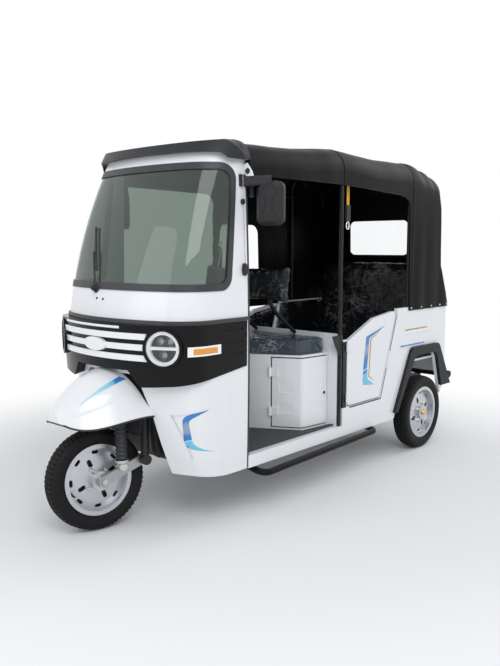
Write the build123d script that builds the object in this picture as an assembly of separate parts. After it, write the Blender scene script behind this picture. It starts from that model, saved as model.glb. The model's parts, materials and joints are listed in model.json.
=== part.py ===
from build123d import *
import math
import os

# Electric passenger tricycle: one steered wheel in front, two driven wheels behind,
# a rounded cab front, open driver and passenger space under a canvas top.
# Millimetres. +X is forward, +Y is the vehicle's left, +Z is up, the ground is z = 0.

# Driving sizes
TYRE_R = 240            # outside radius of all three tyres
TYRE_HALF_W = 50
CROWN_R = 120           # radius across the tread
TREAD_HALF = 40
RIM_FLANGE_R = 168      # 12-inch rim
BEAD_R = 156
FRONT_AXLE_X = 1230
WHEELBASE = 2280
REAR_AXLE_X = FRONT_AXLE_X - WHEELBASE
REAR_TRACK_HALF = 438
BODY_HALF_W = 478       # flat sides of the body
CAB_REAR_X = 673        # rear edge of the cab front
CAB_BACK_X = 540        # the cab's plan outlines start here and are then cut at its rear edge
POST_X = -100           # post behind the driver
TAIL_X = -1390          # outside of the tail panel
BUMPER_X = -1467.5      # rearmost point
SILL_Z = 258
FLOOR_Z = 320           # top of the floor
BELT_Z = 985            # seam between lower cowl and windscreen surround
BAND_LOW_Z = 700        # lower edge of the black band
TUB_TOP_Z = 950
HEM_Z = 931             # lower hem of the canvas
WALL = 14               # cab panels
TUB_WALL = 22           # rear panels and doors
CANVAS = 6
DOOR_GAP = 7            # gap round doors and lids
SEAT_GAP = 0.3          # gap between pieces that lie on one another
RAKE = 18               # steering axis leans back by this many degrees
TRAIL = 70              # the axis meets the ground this far ahead of the front axle
STEER_REST = -12        # the wheel stands turned this far to the right
AXLE_PIN_R = 10
STUB_R = 15
STEM_R = 25
RUNNING_FIT = 0.05      # radial clearance of a turning fit

# Plan of the cab front at each height, measured from the front axle: how far back the nose is,
# the radius of the front, the half width and the corner radius.
COWL_PLAN = {           # z: (nose, front radius, half width, corner radius)
    SILL_Z: (-215, 900, 470, 150),
    640: (-105, 900, 477, 165),
    BELT_Z: (-68, 1000, BODY_HALF_W, 190),
}
SCREEN_PLAN = {
    BELT_Z: (-68, 1000, BODY_HALF_W, 190),
    1123: (-97, 1100, 476, 190),
    1840: (-362, 1100, 447, 230),
}
BAND_PLAN = {
    BAND_LOW_Z - 20: (-42, 950, 482, 180),
    BELT_Z - 2: (-20, 950, 485, 190),
}


def prism(axis, outline, low, high, radius=0):
    """Extrude a closed outline along an axis; its points are the other two coordinates in x, y, z order."""
    planes = {"x": Plane((low, 0, 0), x_dir=(0, 1, 0), z_dir=(1, 0, 0)),
              "y": Plane((0, low, 0), x_dir=(1, 0, 0), z_dir=(0, -1, 0)),
              "z": Plane((0, 0, low), x_dir=(1, 0, 0), z_dir=(0, 0, 1))}
    way = {"x": (1, 0, 0), "y": (0, 1, 0), "z": (0, 0, 1)}[axis]
    if radius:
        line = FilletPolyline(*outline, radius=radius, close=True)
    else:
        line = Polyline(*outline, close=True)
    return extrude(planes[axis] * make_face(line), amount=high - low, dir=way)


def block(x, y, z):
    """Box between (low, high) pairs."""
    middle = [(low + high) / 2 for low, high in (x, y, z)]
    size = [high - low for low, high in (x, y, z)]
    return Pos(*middle) * Box(*size)


def rod(start, end, radius):
    run = Vector(*end) - Vector(*start)
    low = (Align.CENTER, Align.CENTER, Align.MIN)
    return Plane(start, z_dir=run) * Cylinder(radius, run.length, align=low)


def tube(points, radius, bend):
    """Round bar along a path with rounded corners."""
    path = FilletPolyline(*points, radius=bend)
    return sweep(Plane(path @ 0, z_dir=path % 0) * Circle(radius), path=path)


def both(left):
    """A left-hand piece and its mirror image."""
    return left + mirror(left, about=Plane.XZ)


def cab_face(plan, z, grow):
    """Plan outline of the cab front: a wide front arc, two tangent corner arcs and flat sides."""
    nose, front_r, half, corner_r = plan[z]
    front_r, half, corner_r = front_r + grow, half + grow, corner_r + grow
    centre_x = FRONT_AXLE_X + nose + grow - front_r
    corner_y = half - corner_r
    corner_x = centre_x + math.sqrt((front_r - corner_r) ** 2 - corner_y ** 2)
    meet = math.atan2(corner_y, corner_x - centre_x)
    middle = (meet + math.pi / 2) / 2
    join_x = centre_x + front_r * math.cos(meet)
    join_y = front_r * math.sin(meet)
    mid_x = corner_x + corner_r * math.cos(middle)
    mid_y = corner_y + corner_r * math.sin(middle)
    tip_x = centre_x + front_r
    edges = [
        Line((CAB_BACK_X, half, z), (corner_x, half, z)),
        ThreePointArc((corner_x, half, z), (mid_x, mid_y, z), (join_x, join_y, z)),
        ThreePointArc((join_x, join_y, z), (tip_x, 0, z), (join_x, -join_y, z)),
        ThreePointArc((join_x, -join_y, z), (mid_x, -mid_y, z), (corner_x, -half, z)),
        Line((corner_x, -half, z), (CAB_BACK_X, -half, z)),
        Line((CAB_BACK_X, -half, z), (CAB_BACK_X, half, z)),
    ]
    return Face(Wire(edges))


def cab_solid(plan, grow=0, rear_x=CAB_REAR_X):
    """Cab front within a plan table, grown outward all round and cut off at its rear edge."""
    shape = loft([cab_face(plan, z, grow) for z in plan], ruled=len(plan) == 2)
    return shape - block((CAB_BACK_X - 10, rear_x), (-700, 700), (0, 2000))


# Cab front: lower cowl with the wheel opening, hollow behind, and a hooked recess pressed into each corner
cowl_outer = cab_solid(COWL_PLAN)
cowl_inner = cab_solid(COWL_PLAN, -WALL, CAB_REAR_X - 60)
wheel_opening = prism("x", [(-268, 150), (268, 150), (240, 560), (190, 745), (-190, 745), (-240, 560)],
                      700, 1600, 70)
RECESS_DEPTH = 7
HOOK_RECESS = [(1045, 562), (800, 642), (800, 372), (962, 350)]
recess_floor = Pos(-RECESS_DEPTH, 0, 0) * cab_solid(COWL_PLAN, -0.6)
hook_recess = (cowl_outer - recess_floor) & prism("y", HOOK_RECESS, 0, 700)
front_cowl = cowl_outer - cowl_inner - wheel_opening - both(hook_recess)

# Black band across the nose, seated on the cowl, with a step up over the wheel opening
band_outer = cab_solid(BAND_PLAN, 0, CAB_REAR_X + 18)
lamp_spots = [(1120, 373, 882), (1120, -373, 882)]
LAMP_TOE = 30           # lamps look outward by this many degrees
LAMP_R = 92
lamp_planes = []
for x, y, z in lamp_spots:
    side = math.copysign(1, y)
    way = (math.cos(math.radians(LAMP_TOE)), side * math.sin(math.radians(LAMP_TOE)), 0)
    lamp_planes.append(Plane((x, y, z), x_dir=(-way[1], way[0], 0), z_dir=way))
lamp_pockets = [plane * Cylinder(LAMP_R, 130) for plane in lamp_planes]
band_step = prism("x", [(-250, 650), (250, 650), (250, 700), (190, 772), (-190, 772), (-250, 700)], 900, 1500)
BAND_SLOPE = [(600, 640), (1250, 640), (1250, 672), (1113, 709), (700, 766), (600, 770)]
band_slope = prism("y", BAND_SLOPE, -600, 600)
band_body = band_outer - cowl_outer - band_step - band_slope
louvres = Part()
for z in (944, 887, 830):
    louvres += block((720, 868), (BODY_HALF_W + 2, 600), (z, z + 8))
nose_band = band_body - both(louvres) - lamp_pockets

# Three bars between the lamps with a blank oval in the middle
bar_skin = cab_solid(BAND_PLAN, 9, CAB_REAR_X) - band_outer - cowl_outer
grille_bars = Part()
for z in (820, 869, 918):
    grille_bars += bar_skin & block((1000, 1400), (-305, 305), (z, z + 28))
badge = Plane((1100, 0, 883), x_dir=(0, 1, 0), z_dir=(1, 0, 0)) * extrude(Ellipse(80, 32), 200)
grille_bars = grille_bars + (badge & (cab_solid(BAND_PLAN, 16, CAB_REAR_X) - band_outer - cowl_outer))
grille_bars = grille_bars - lamp_pockets

# Round lamps: black cup, white light ring with a bar across it, clear front
headlamp_cups = Part()
headlamp_rings = Part()
headlamp_lenses = Part()
cup_profile = [(0, -60), (LAMP_R - SEAT_GAP, -60), (LAMP_R - SEAT_GAP, 14), (78, 14), (78, -22), (0, -22)]
ring_profile = [(62, -22), (77, -22), (77, 4), (62, 4)]
for plane in lamp_planes:
    upright = Plane(plane.origin, x_dir=plane.x_dir, z_dir=plane.z_dir)
    turn = Axis(plane.origin, plane.z_dir)
    for store, profile in ((0, cup_profile), (1, ring_profile)):
        side_on = Plane(upright.origin, x_dir=upright.x_dir, z_dir=upright.y_dir * -1)
        ring = revolve(side_on * make_face(Polyline(*profile, close=True)), turn)
        if store:
            bar = upright * (Pos(0, 0, -10) * Box(124.5, 13, 20))
            headlamp_rings += ring + bar
        else:
            headlamp_cups += ring
    headlamp_lenses += upright * (Pos(0, 0, 6.5) * Cylinder(77.5, 4))
headlamp_cups = headlamp_cups - cowl_outer
headlamp_rings = headlamp_rings - cowl_outer

# Amber turn signals on the corners of the band
signal_skin = cab_solid(BAND_PLAN, 12, CAB_REAR_X) - band_outer - cowl_outer
turn_signals = signal_skin & both(block((880, 1060), (200, 600), (846, 890)))
turn_signals = turn_signals - lamp_pockets

# Windscreen surround, rounded over the top, with glass wrapped round both corners
screen_outer = cab_solid(SCREEN_PLAN)
screen_inner = cab_solid(SCREEN_PLAN, -WALL, CAB_REAR_X - 60)
ARCH_TOP = 1758
ARCH = [(-600, 900), (600, 900), (600, 1560), (470, 1560), (470, ARCH_TOP), (-470, ARCH_TOP), (-470, 1560),
        (-600, 1560)]
under_arch = prism("x", ARCH, 500, 1500, 60)
screen_cut = prism("y", [(795, 1130), (1500, 1130), (1500, 1712), (735, 1712)], -700, 700, 70)
glass_cut = prism("y", [(825, 1162), (1540, 1162), (1540, 1680), (768, 1680)], -700, 700, 45)
windscreen_surround = (screen_outer - screen_inner - screen_cut) & under_arch
seal_skin = cab_solid(SCREEN_PLAN, 5) - cab_solid(SCREEN_PLAN, -WALL, CAB_REAR_X - 60)
windscreen_seal = seal_skin & (screen_cut - glass_cut)
glass_skin = cab_solid(SCREEN_PLAN, -2) - cab_solid(SCREEN_PLAN, -8, CAB_REAR_X - 60)
windscreen_glass = glass_skin & glass_cut

# Rubber strip along the belt seam
belt_skin = cab_solid(SCREEN_PLAN, 9) - screen_outer
belt_trim = belt_skin & block((CAB_REAR_X, 1600), (-700, 700), (BELT_Z, BELT_Z + 16))

# Peak over the windscreen: a hollow brow that sits on the arch of the surround and overhangs it
PEAK_LOW_Z = 1728
PEAK_REACH = 38         # the peak stands this far out from the surround
PEAK_FRONT = [(-490, 1600), (490, 1600), (490, 1828), (-490, 1828)]
PEAK_SIDE = [(600, PEAK_LOW_Z), (1100, PEAK_LOW_Z), (1100, 1786), (930, 1800), (660, 1828), (600, 1828)]
peak_outer = cab_solid(SCREEN_PLAN, PEAK_REACH) & prism("x", PEAK_FRONT, 500, 1500, 110)
peak_outer = peak_outer & prism("y", PEAK_SIDE, -600, 600)
peak_hollow = screen_inner & block((500, 1500), (-400, 400), (ARCH_TOP - 20, ARCH_TOP + 24))
roof_peak = peak_outer - peak_hollow - under_arch

# Front mudguard: a hooded shell seated on the cowl
GUARD = [   # distance ahead of the axle, half width, lower edge, shoulder half width and height, crown
    (-230, 254, 540, 205, 640, 775),
    (-60, 238, 550, 188, 642, 762),
    (60, 196, 530, 152, 612, 720),
    (150, 138, 522, 105, 578, 656),
    (216, 46, 552, 36, 570, 592),
]


def guard_solid(inset):
    faces = []
    for ahead, half, low, shoulder, shoulder_z, crown in GUARD:
        x = FRONT_AXLE_X + ahead - (inset if ahead > 0 else 0)
        half, shoulder = half - inset, shoulder - inset * 0.8
        low, shoulder_z, crown = low - 4 * inset, shoulder_z - inset * 0.6, crown - inset
        faces.append(Face(Wire([
            Line((x, -half, low), (x, half, low)),
            Line((x, half, low), (x, shoulder, shoulder_z)),
            ThreePointArc((x, shoulder, shoulder_z), (x, 0, crown), (x, -shoulder, shoulder_z)),
            Line((x, -shoulder, shoulder_z), (x, -half, low)),
        ])))
    return loft(faces)


front_mudguard = guard_solid(0) - guard_solid(7) - cowl_outer

# Floor with side sills and a raised panel under the mat, and the toe panel between the cowl's sides
FLOOR_REAR_X = -660
floor_slab = block((FLOOR_REAR_X, CAB_REAR_X), (-BODY_HALF_W, BODY_HALF_W), (FLOOR_Z - 12, FLOOR_Z))
sill = block((FLOOR_REAR_X, CAB_REAR_X), (BODY_HALF_W - 34, BODY_HALF_W), (SILL_Z, FLOOR_Z))
front_slab = cowl_inner & block((CAB_REAR_X, 790), (-600, 600), (FLOOR_Z - 12, FLOOR_Z))
mat_panel = block((300, 640), (-430, 430), (FLOOR_Z, FLOOR_Z + 4))
floor_pan = floor_slab + both(sill) + front_slab + mat_panel
toe_slant = prism("y", [(782, FLOOR_Z), (790, FLOOR_Z), (840, 730), (832, 730)], -600, 600)
toe_panel = toe_slant & cowl_inner

# Dashboard shelf round the inside of the cowl
dash_slab = cowl_inner & block((CAB_REAR_X, 1500), (-600, 600), (930, 955))
dash_cut = cab_solid(COWL_PLAN, -WALL - 70, CAB_REAR_X - 80)
dashboard = dash_slab - dash_cut

# Chassis: two rails kicked up over the rear axle, cross members, a spine to the steering head
RAIL_Y = 230
RAIL_HALF = 25
rail_line = [(650, 248), (650, 308), (-665, 308), (-780, 430), (-1380, 430), (-1380, 370), (-765, 370),
             (-650, 248)]
rails = both(prism("y", rail_line, RAIL_Y - RAIL_HALF, RAIL_Y + RAIL_HALF))
cross = Part()
for x, z in ((625, 278), (100, 278), (-450, 278), (-900, 400), (-1355, 400)):
    cross += block((x - 25, x + 25), (-RAIL_Y, RAIL_Y), (z - 25, z + 25))
outriggers = Part()
for x in (560, 60, -400):
    outriggers += block((x - 20, x + 20), (RAIL_Y, BODY_HALF_W - 34), (268, FLOOR_Z - 12))


def on_axis(z):
    """Point of the steering axis at a height."""
    return (FRONT_AXLE_X + TRAIL - z * math.tan(math.radians(RAKE)), 0, z)


STEER_AXIS = Axis((FRONT_AXLE_X + TRAIL, 0, 0),
                  (-math.sin(math.radians(RAKE)), 0, math.cos(math.radians(RAKE))))
HEAD_LOW = 655
HEAD_TOP = 835
spine = tube([(625, 0, 274), (850, 0, 274), (890, 0, 700), on_axis(750)], 28, 45)
head_bore = rod(on_axis(HEAD_LOW - 40), on_axis(HEAD_TOP + 40), STEM_R + RUNNING_FIT)
head_tube = rod(on_axis(HEAD_LOW), on_axis(HEAD_TOP), 38)
chassis_frame = rails + cross + both(outriggers) + spine + head_tube - head_bore

# Post and hoop behind the driver, canopy hoops and rails under the canvas
HOOP_R = 11
HOOP_Y = BODY_HALF_W - HOOP_R - 1
ROOF = [    # x, crown height, shoulder radius
    (CAB_REAR_X - 4, 1838, 115),
    (-100, 1885, 120),
    (-890, 1868, 120),
    (-1035, 1836, 120),
    (-1130, 1815, 115),
    (-1195, 1785, 100),
    (-1225, 1700, 95),
    (-1241, 1262, 38),
    (-1352, 995, 24),
]
ROOF_CROWN = 24         # rise of the roof across its width
HOOPS = [   # x, foot height, top height
    (640, 1560, 1790),
    (POST_X, FLOOR_Z, 1840),
    (-835, TUB_TOP_Z, 1822),
]
canopy_hoops = Part()
for x, foot, top in HOOPS:
    path = [(x, -HOOP_Y, foot), (x, -HOOP_Y, top), (x, HOOP_Y, top), (x, HOOP_Y, foot)]
    canopy_hoops += tube(path, HOOP_R, 105)
SIDE_RAIL_Z = 1672      # hidden behind the valance
canopy_hoops += both(rod((HOOPS[0][0], HOOP_Y, SIDE_RAIL_Z), (HOOPS[2][0], HOOP_Y, SIDE_RAIL_Z), 9))


def roof_face(x, crown, shoulder, inset):
    half = BODY_HALF_W + SEAT_GAP + CANVAS - inset
    shoulder = shoulder - inset
    crown = crown - inset
    top = crown - ROOF_CROWN
    flat = half - shoulder
    low = HEM_Z - inset
    bow = shoulder * math.sqrt(0.5)
    return Face(Wire([
        Line((x, -half, low), (x, half, low)),
        Line((x, half, low), (x, half, top - shoulder)),
        ThreePointArc((x, half, top - shoulder), (x, flat + bow, top - shoulder + bow), (x, flat, top)),
        ThreePointArc((x, flat, top), (x, 0, crown), (x, -flat, top)),
        ThreePointArc((x, -flat, top), (x, -flat - bow, top - shoulder + bow), (x, -half, top - shoulder)),
        Line((x, -half, top - shoulder), (x, -half, low)),
    ]))


# Canvas top: taut between the hoops, deep rear quarters, a window in the back
roof_outer = loft([roof_face(x, crown, r, 0) for x, crown, r in ROOF], ruled=True)
inner_rows = [(x + (CANVAS if x < -1000 else 0), crown, r) for x, crown, r in ROOF]
inner_rows[0] = (ROOF[0][0] + 20, ROOF[0][1], ROOF[0][2])
roof_inner = loft([roof_face(x, crown, r, CANVAS) for x, crown, r in inner_rows], ruled=True)
left_open = [(720, 900), (720, 1662), (-100, 1662), (-690, 1640), (-815, 1612), (-832, 900)]
right_front = [(720, 900), (720, 1662), (POST_X + 30, 1655), (POST_X + 30, 900)]
right_window = [(-135, 1000), (-135, 1473), (-484, 1473), (-500, 1000)]
canopy_cuts = [
    prism("y", left_open, 300, 700, 55),
    prism("y", right_front, -700, -300, 55),
    prism("y", right_window, -700, -300, 60),
    prism("x", [(-235, 1272), (235, 1272), (235, 1510), (-235, 1510)], -1500, -1150, 38),
]
canopy_top = roof_outer - roof_inner - canopy_cuts
rear_window = (roof_outer - roof_inner) & canopy_cuts[3]

# Rear body: side and tail panels with door openings and wheel openings, a raised panel on the tail,
# two pressed ribs on each quarter and the plate that each door latches on
tub_plan = [(POST_X - 18, -BODY_HALF_W), (POST_X - 18, BODY_HALF_W), (TAIL_X, BODY_HALF_W),
            (TAIL_X, -BODY_HALF_W)]
tub_rim = [(x + (400 if x > -600 else 0), y) for x, y in tub_plan]
tub_inner = [(x + (500 if x > -600 else TUB_WALL), y - math.copysign(TUB_WALL, y)) for x, y in tub_plan]
tub_shell = prism("z", tub_rim, SILL_Z + 5, TUB_TOP_Z, 60) - prism("z", tub_inner, SILL_Z - 50, 1100, 40)
DOOR_LINE = [(-163, 428), (-163, 800), (-432, 911), (-684, 942), (-506, 428)]
HINGE_X = -150
door_hole = [(POST_X - 60, 420), (POST_X - 60, 810), (POST_X, 810), (POST_X, 1200), (-760, 1200), (-697, 940),
             (-512, 420)]
arch_inner = [(-640, 200), (-905, 632), (-1190, 632), (-1330, 200)]
tub_cuts = [
    block((POST_X - 18, 1000), (-700, 700), (0, 2000)),
    block((FLOOR_REAR_X, 1000), (-700, 700), (0, FLOOR_Z)),
    prism("y", door_hole, -700, 700, 20),
    prism("y", arch_inner, -700, 700, 60),
    prism("y", [(-1200, 200), (-1345, 425), (-1345, 466), (-1500, 466), (-1500, 200)], -700, 700),
]
post_plate = block((HINGE_X - 6, POST_X - 18), (BODY_HALF_W - 10, BODY_HALF_W), (420, 800))
gusset = prism("y", [(-118, 838), (-20, 838), (-89, 720), (-118, 720)], BODY_HALF_W - 10, BODY_HALF_W - 4)
post_plates = both(post_plate + gusset) - canopy_hoops
tail_panel = block((TAIL_X - 4, TAIL_X + 1), (-280, 280), (560, 800))
QUARTER_RIBS = [    # front x, rear x, height of the ridge
    (-790, -1095, 781),
    (-735, -1058, 697),
]
LATCH_PLATE = [(-641, 690), (-617, 690), (-592, 600), (-616, 600)]
side_forms = prism("y", LATCH_PLATE, BODY_HALF_W - 1, BODY_HALF_W + 6)
for front_x, rear_x, ridge_z in QUARTER_RIBS:
    rib = [(BODY_HALF_W - 1, ridge_z + 20), (BODY_HALF_W, ridge_z + 20), (BODY_HALF_W + 4, ridge_z),
           (BODY_HALF_W, ridge_z - 4), (BODY_HALF_W - 1, ridge_z - 4)]
    side_forms += prism("x", rib, rear_x, front_x)
rear_tub = tub_shell - tub_cuts + tail_panel + both(side_forms) - post_plates
canopy_cover = canopy_top - rear_tub

# Black flares round the rear wheels
arch_outer = [(-610, 200), (-668, 300), (-866, 690), (-1222, 690), (-1398, 391), (-1460, 200)]
flare = prism("y", arch_outer, BODY_HALF_W, BODY_HALF_W + 22, 50) - prism("y", arch_inner, 300, 700, 60)
flare = flare - block((-2000, 0), (0, 700), (0, 300)) - block((-2000, -1100), (0, 700), (0, 391))
arch_flares = both(flare)

# Passenger doors: half doors hung on the post by two hinges, each with a recess that fades out to the rear
DOOR_RECESS = [(-317, 508), (-322, 640), (-345, 814), (-560, 874), (-620, 874), (-620, 508)]
recess_wedge = [(-310, BODY_HALF_W - 5), (-310, BODY_HALF_W + 1), (-600, BODY_HALF_W + 1),
                (-600, BODY_HALF_W)]
door_recess = prism("y", DOOR_RECESS, BODY_HALF_W - 10, BODY_HALF_W + 2) & prism("z", recess_wedge, 400, 1000)
door_panel = prism("y", DOOR_LINE, BODY_HALF_W - TUB_WALL, BODY_HALF_W, 26) - door_recess
KNUCKLE_R = 8
HINGE_Y = BODY_HALF_W + 0.5 + KNUCKLE_R
for z in (450, 740):
    leaf = block((-215, -164), (BODY_HALF_W - 2, BODY_HALF_W + 5), (z, z + 46))
    bridge = block((-170, HINGE_X), (BODY_HALF_W + 0.5, BODY_HALF_W + 5), (z, z + 46))
    door_panel += leaf + bridge + rod((HINGE_X, HINGE_Y, z), (HINGE_X, HINGE_Y, z + 46), KNUCKLE_R)
left_door = door_panel
right_door = mirror(left_door, about=Plane.XZ)

# Wall behind the driver
bulkhead = block((POST_X - 6, POST_X + 6), (-HOOP_Y + HOOP_R + 0.5, HOOP_Y - HOOP_R - 0.5), (FLOOR_Z, 845))

# Seat box under the driver: swept front, hollow, door in its left face
BOX_TOP = 740
BOX_WALL = 10
box_plan = [(POST_X + 6, -410), (130, -383), (290, -100), (290, 100), (130, 383), (POST_X + 6, 410)]
box_inner = [(POST_X + 16, -399), (124, -373), (280, -96), (280, 96), (124, 373), (POST_X + 16, 399)]
box_hollow = prism("z", box_inner, FLOOR_Z - 20, BOX_TOP - BOX_WALL, 24)
box_shell = prism("z", box_plan, FLOOR_Z, BOX_TOP, 30) - box_hollow
BOX_HINGE_Y = 236
face_way = Vector(130 - 290, 383 - 100, 0).normalized()
face_out = Vector(face_way.Y, -face_way.X, 0)
box_hinge = Vector(290, 100, 0) + face_way * ((BOX_HINGE_Y - 100) / face_way.Y)
far_x = POST_X + 40
door_edge = box_hinge - face_out * 40
gap_edge = door_edge - face_way * DOOR_GAP
lid_zone = prism("z", [(far_x, 300), (door_edge.X, door_edge.Y), (door_edge.X + 100, door_edge.Y + 56.5),
                       (300, 500), (far_x, 500)], 340, 722)
gap_x = far_x - DOOR_GAP
door_cut = prism("z", [(gap_x, 290), (gap_edge.X, gap_edge.Y), (gap_edge.X + 100, gap_edge.Y + 56.5),
                       (320, 540), (gap_x, 540)], 340 - DOOR_GAP, 722 + DOOR_GAP)
seat_box = box_shell - door_cut
seat_box_door = box_shell & lid_zone
box_axis = box_hinge - face_way * (DOOR_GAP + 6) + face_out * 8
for z in (400, 620):
    hinge = Plane((box_axis.X, box_axis.Y, z), x_dir=(face_way.X, face_way.Y, 0), z_dir=(0, 0, 1))
    seat_box_door += hinge * block((0, DOOR_GAP + 8), (3, 7.5), (0, 50))
    seat_box_door += hinge * block((DOOR_GAP + 7, 46), (3, 9), (0, 50))
    seat_box_door += hinge * (Pos(0, 0, 25) * Cylinder(7.5, 50))

# Two pressed panels on each face of the box door, and its lock
side_corner = Vector(130, 383, 0)
side_way = Vector(POST_X + 6 - 130, 410 - 383, 0).normalized()
side_out = Vector(side_way.Y, -side_way.X, 0)
PRESSED = [     # start of the face, its direction, where the panels begin and end along it
    (box_hinge, face_way, 40, 112),
    (side_corner, side_way, 50, 165),
]
for corner, way, near, far in PRESSED:
    face = Plane((corner.X, corner.Y, 0), x_dir=(way.X, way.Y, 0), z_dir=(0, 0, 1))
    for low, high in ((416, 468), (533, 588)):
        seat_box_door -= face * block((near, far), (-5, 3), (low, high))
lock = side_corner + side_way * 166 + Vector(0, 0, 517)
seat_box_door += rod(tuple(lock - side_out * 2), tuple(lock + side_out * 7), 9)

# Seats
cushion_plan = [(POST_X + 12, -400), (135, -376), (284, -98), (284, 98), (135, 376), (POST_X + 12, 400)]
driver_cushion = prism("z", cushion_plan, BOX_TOP, BOX_TOP + 78, 40)
back_pad = prism("y", [(150, 1022), (205, 1032), (178, 1224), (125, 1216)], -312, 312, 20)
driver_backrest = back_pad
back_post = tube([(POST_X + 6, 150, 832), (60, 150, 940), (128, 150, 1010), (128, 150, 1110)], 11, 30)
back_posts = both(back_post) - back_pad - bulkhead
bench_base = (block((-652, -640), (-455, 455), (FLOOR_Z, 600))
              + block((TAIL_X + TUB_WALL, -640), (-455, 455), (588, 600))) - chassis_frame - rear_tub
bench_cushion = prism("y", [(-1098, 600), (-632, 600), (-626, 720), (-1098, 735)], -440, 440, 30)
bench_backrest = prism("y", [(-1245, 600), (-1101, 600), (-1140, 1230), (-1212, 1244)], -430, 430, 25)

# Battery block under the driver and drive block on the rear axle
battery_pack = block((-60, 120), (-300, 300), (FLOOR_Z, 560))
axle_tube = rod((REAR_AXLE_X, -362, TYRE_R), (REAR_AXLE_X, 362, TYRE_R), 32)
drums = both(rod((REAR_AXLE_X, 362, TYRE_R), (REAR_AXLE_X, 400, TYRE_R), 105))
stubs = both(rod((REAR_AXLE_X, 400, TYRE_R), (REAR_AXLE_X, REAR_TRACK_HALF + 30, TYRE_R), STUB_R))
diff_case = Pos(REAR_AXLE_X, 0, TYRE_R) * Sphere(92)
rear_axle = axle_tube + drums + stubs + diff_case
drive_motor = rod((REAR_AXLE_X + 88, -40, TYRE_R + 20), (REAR_AXLE_X + 330, -40, TYRE_R + 20), 82) - rear_axle

# Leaf springs between the rails and the axle
spring_line = [(-790, 330), (-790, 342), (-1050, 290), (-1365, 342), (-1365, 330), (-1050, 272)]
leaf = prism("y", spring_line, RAIL_Y - 24, RAIL_Y + 24)
shackles = Part()
for x in (-1370, -815):
    shackles += block((x, x + 25), (RAIL_Y - 20, RAIL_Y + 20), (328, 372))
leaf_springs = both(leaf + shackles) - rear_axle - chassis_frame

# Side steps, rear bumper, tail lamps
step = tube([(590, RAIL_Y + 20, 262), (590, 505, 214), (-440, 505, 238), (-440, RAIL_Y + 20, 262)], 17, 50)
side_steps = both(step) - chassis_frame - floor_pan
bumper_bar = rod((BUMPER_X + 24, -455, 440), (BUMPER_X + 24, 455, 440), 20)
bumper_arms = both(block((BUMPER_X + 25, -1380), (RAIL_Y - 18, RAIL_Y + 18), (385, 425)))
bumper_ends = both(rod((BUMPER_X + 24, 440, 440), (BUMPER_X + 24, 470, 440), 24))
rear_bumper = bumper_bar + bumper_arms + bumper_ends
tail_lamps = both(block((TAIL_X - 14, TAIL_X), (340, 440), (700, 790)))

# Mirrors: tapered shells that hang from square sleeves on the upper corners of the surround
MIRROR_YAW = 22
MIRROR_SIZE = (132, 205)
MIRROR_BACK = (96, 168)     # the shell tapers to this
mirror_at = (606, 553, 1530)
head_face = RectangleRounded(*MIRROR_SIZE, 34)
head_shape = Pos(0, 0, -26) * extrude(head_face, 30)
head_shape += loft([Pos(0, 0, 4) * head_face, Pos(0, 0, 26) * RectangleRounded(*MIRROR_BACK, 24)])
mirror_head = Pos(*mirror_at) * Rot(0, 0, MIRROR_YAW) * Rot(0, 90, 0) * Rot(0, 0, 90) * head_shape
sleeve_run = Vector(606 - 694, 553 - 462, 6)
sleeve_foot = Plane((694, 462, 1630), x_dir=(0, 0, 1), z_dir=sleeve_run)
sleeve = sleeve_foot * extrude(RectangleRounded(46, 26, 8), 132)
plate = block((684, 720), (440, 470), (1606, 1660))
mirrors = both(mirror_head + sleeve + plate - screen_outer)
glass_face = Pos(*mirror_at) * Rot(0, 0, MIRROR_YAW) * Pos(-27.5, 0, 0) * Rot(0, 90, 0) * Rot(0, 0, 90)
mirror_glasses = both(glass_face * extrude(RectangleRounded(118, 190, 28), 1.2, both=True)) - mirrors

# Steered group, drawn straight ahead and then turned to its resting angle
rest = math.radians(STEER_REST)
lean = math.asin(abs(math.sin(rest)) * math.sin(math.radians(RAKE)))
offset = TRAIL * math.cos(math.radians(RAKE)) - TYRE_R * math.sin(math.radians(RAKE))
WHEEL_Z = ((TYRE_R - CROWN_R) * math.cos(lean) + CROWN_R
           - offset * (1 - math.cos(rest)) * math.sin(math.radians(RAKE)))
PIVOT = (FRONT_AXLE_X - 209, 312)
LEG_Y = 115
LINK_Y = (78, 96)
stem = rod(on_axis(590), on_axis(985), STEM_R)
CROWN_PLAN = [(980, -140), (980, 140), (1160, 140), (1180, 60), (1180, -60), (1160, -140)]
crown_plate = prism("z", CROWN_PLAN, 578, 612, 20)
legs = both(rod((FRONT_AXLE_X - 226, LEG_Y, 590), (PIVOT[0], LEG_Y, PIVOT[1]), 19))
bosses = both(rod((PIVOT[0], LINK_Y[1] + SEAT_GAP, PIVOT[1]), (PIVOT[0], 136, PIVOT[1]), 25))
steering_fork = stem + crown_plate + legs + bosses
link_plate = prism("y", [(PIVOT[0] - 4, PIVOT[1] + 24), (PIVOT[0] - 4, PIVOT[1] - 24),
                         (FRONT_AXLE_X, WHEEL_Z - 24), (FRONT_AXLE_X, WHEEL_Z + 24)], LINK_Y[0], LINK_Y[1])
link_ends = (rod((PIVOT[0], LINK_Y[0], PIVOT[1]), (PIVOT[0], LINK_Y[1], PIVOT[1]), 25)
             + rod((FRONT_AXLE_X, 70.5, WHEEL_Z), (FRONT_AXLE_X, 104, WHEEL_Z), 26))
axle_pin = rod((FRONT_AXLE_X, -90, WHEEL_Z), (FRONT_AXLE_X, 90, WHEEL_Z), AXLE_PIN_R)
fork_links = both(link_plate + link_ends) + axle_pin
SHOCK_X = FRONT_AXLE_X - 88
SHOCK_Y = 118
SHOCK_RODS = [      # lower end, upper end, radius
    (300, 335, 15),
    (335, 520, 31),
    (520, 534, 35),
    (534, 578, 12),
]
shock = rod((SHOCK_X, LINK_Y[1] + SEAT_GAP, 296), (SHOCK_X, 140, 296), 17)
for low, high, radius in SHOCK_RODS:
    shock += rod((SHOCK_X, SHOCK_Y, low), (SHOCK_X, SHOCK_Y, high), radius)
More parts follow.
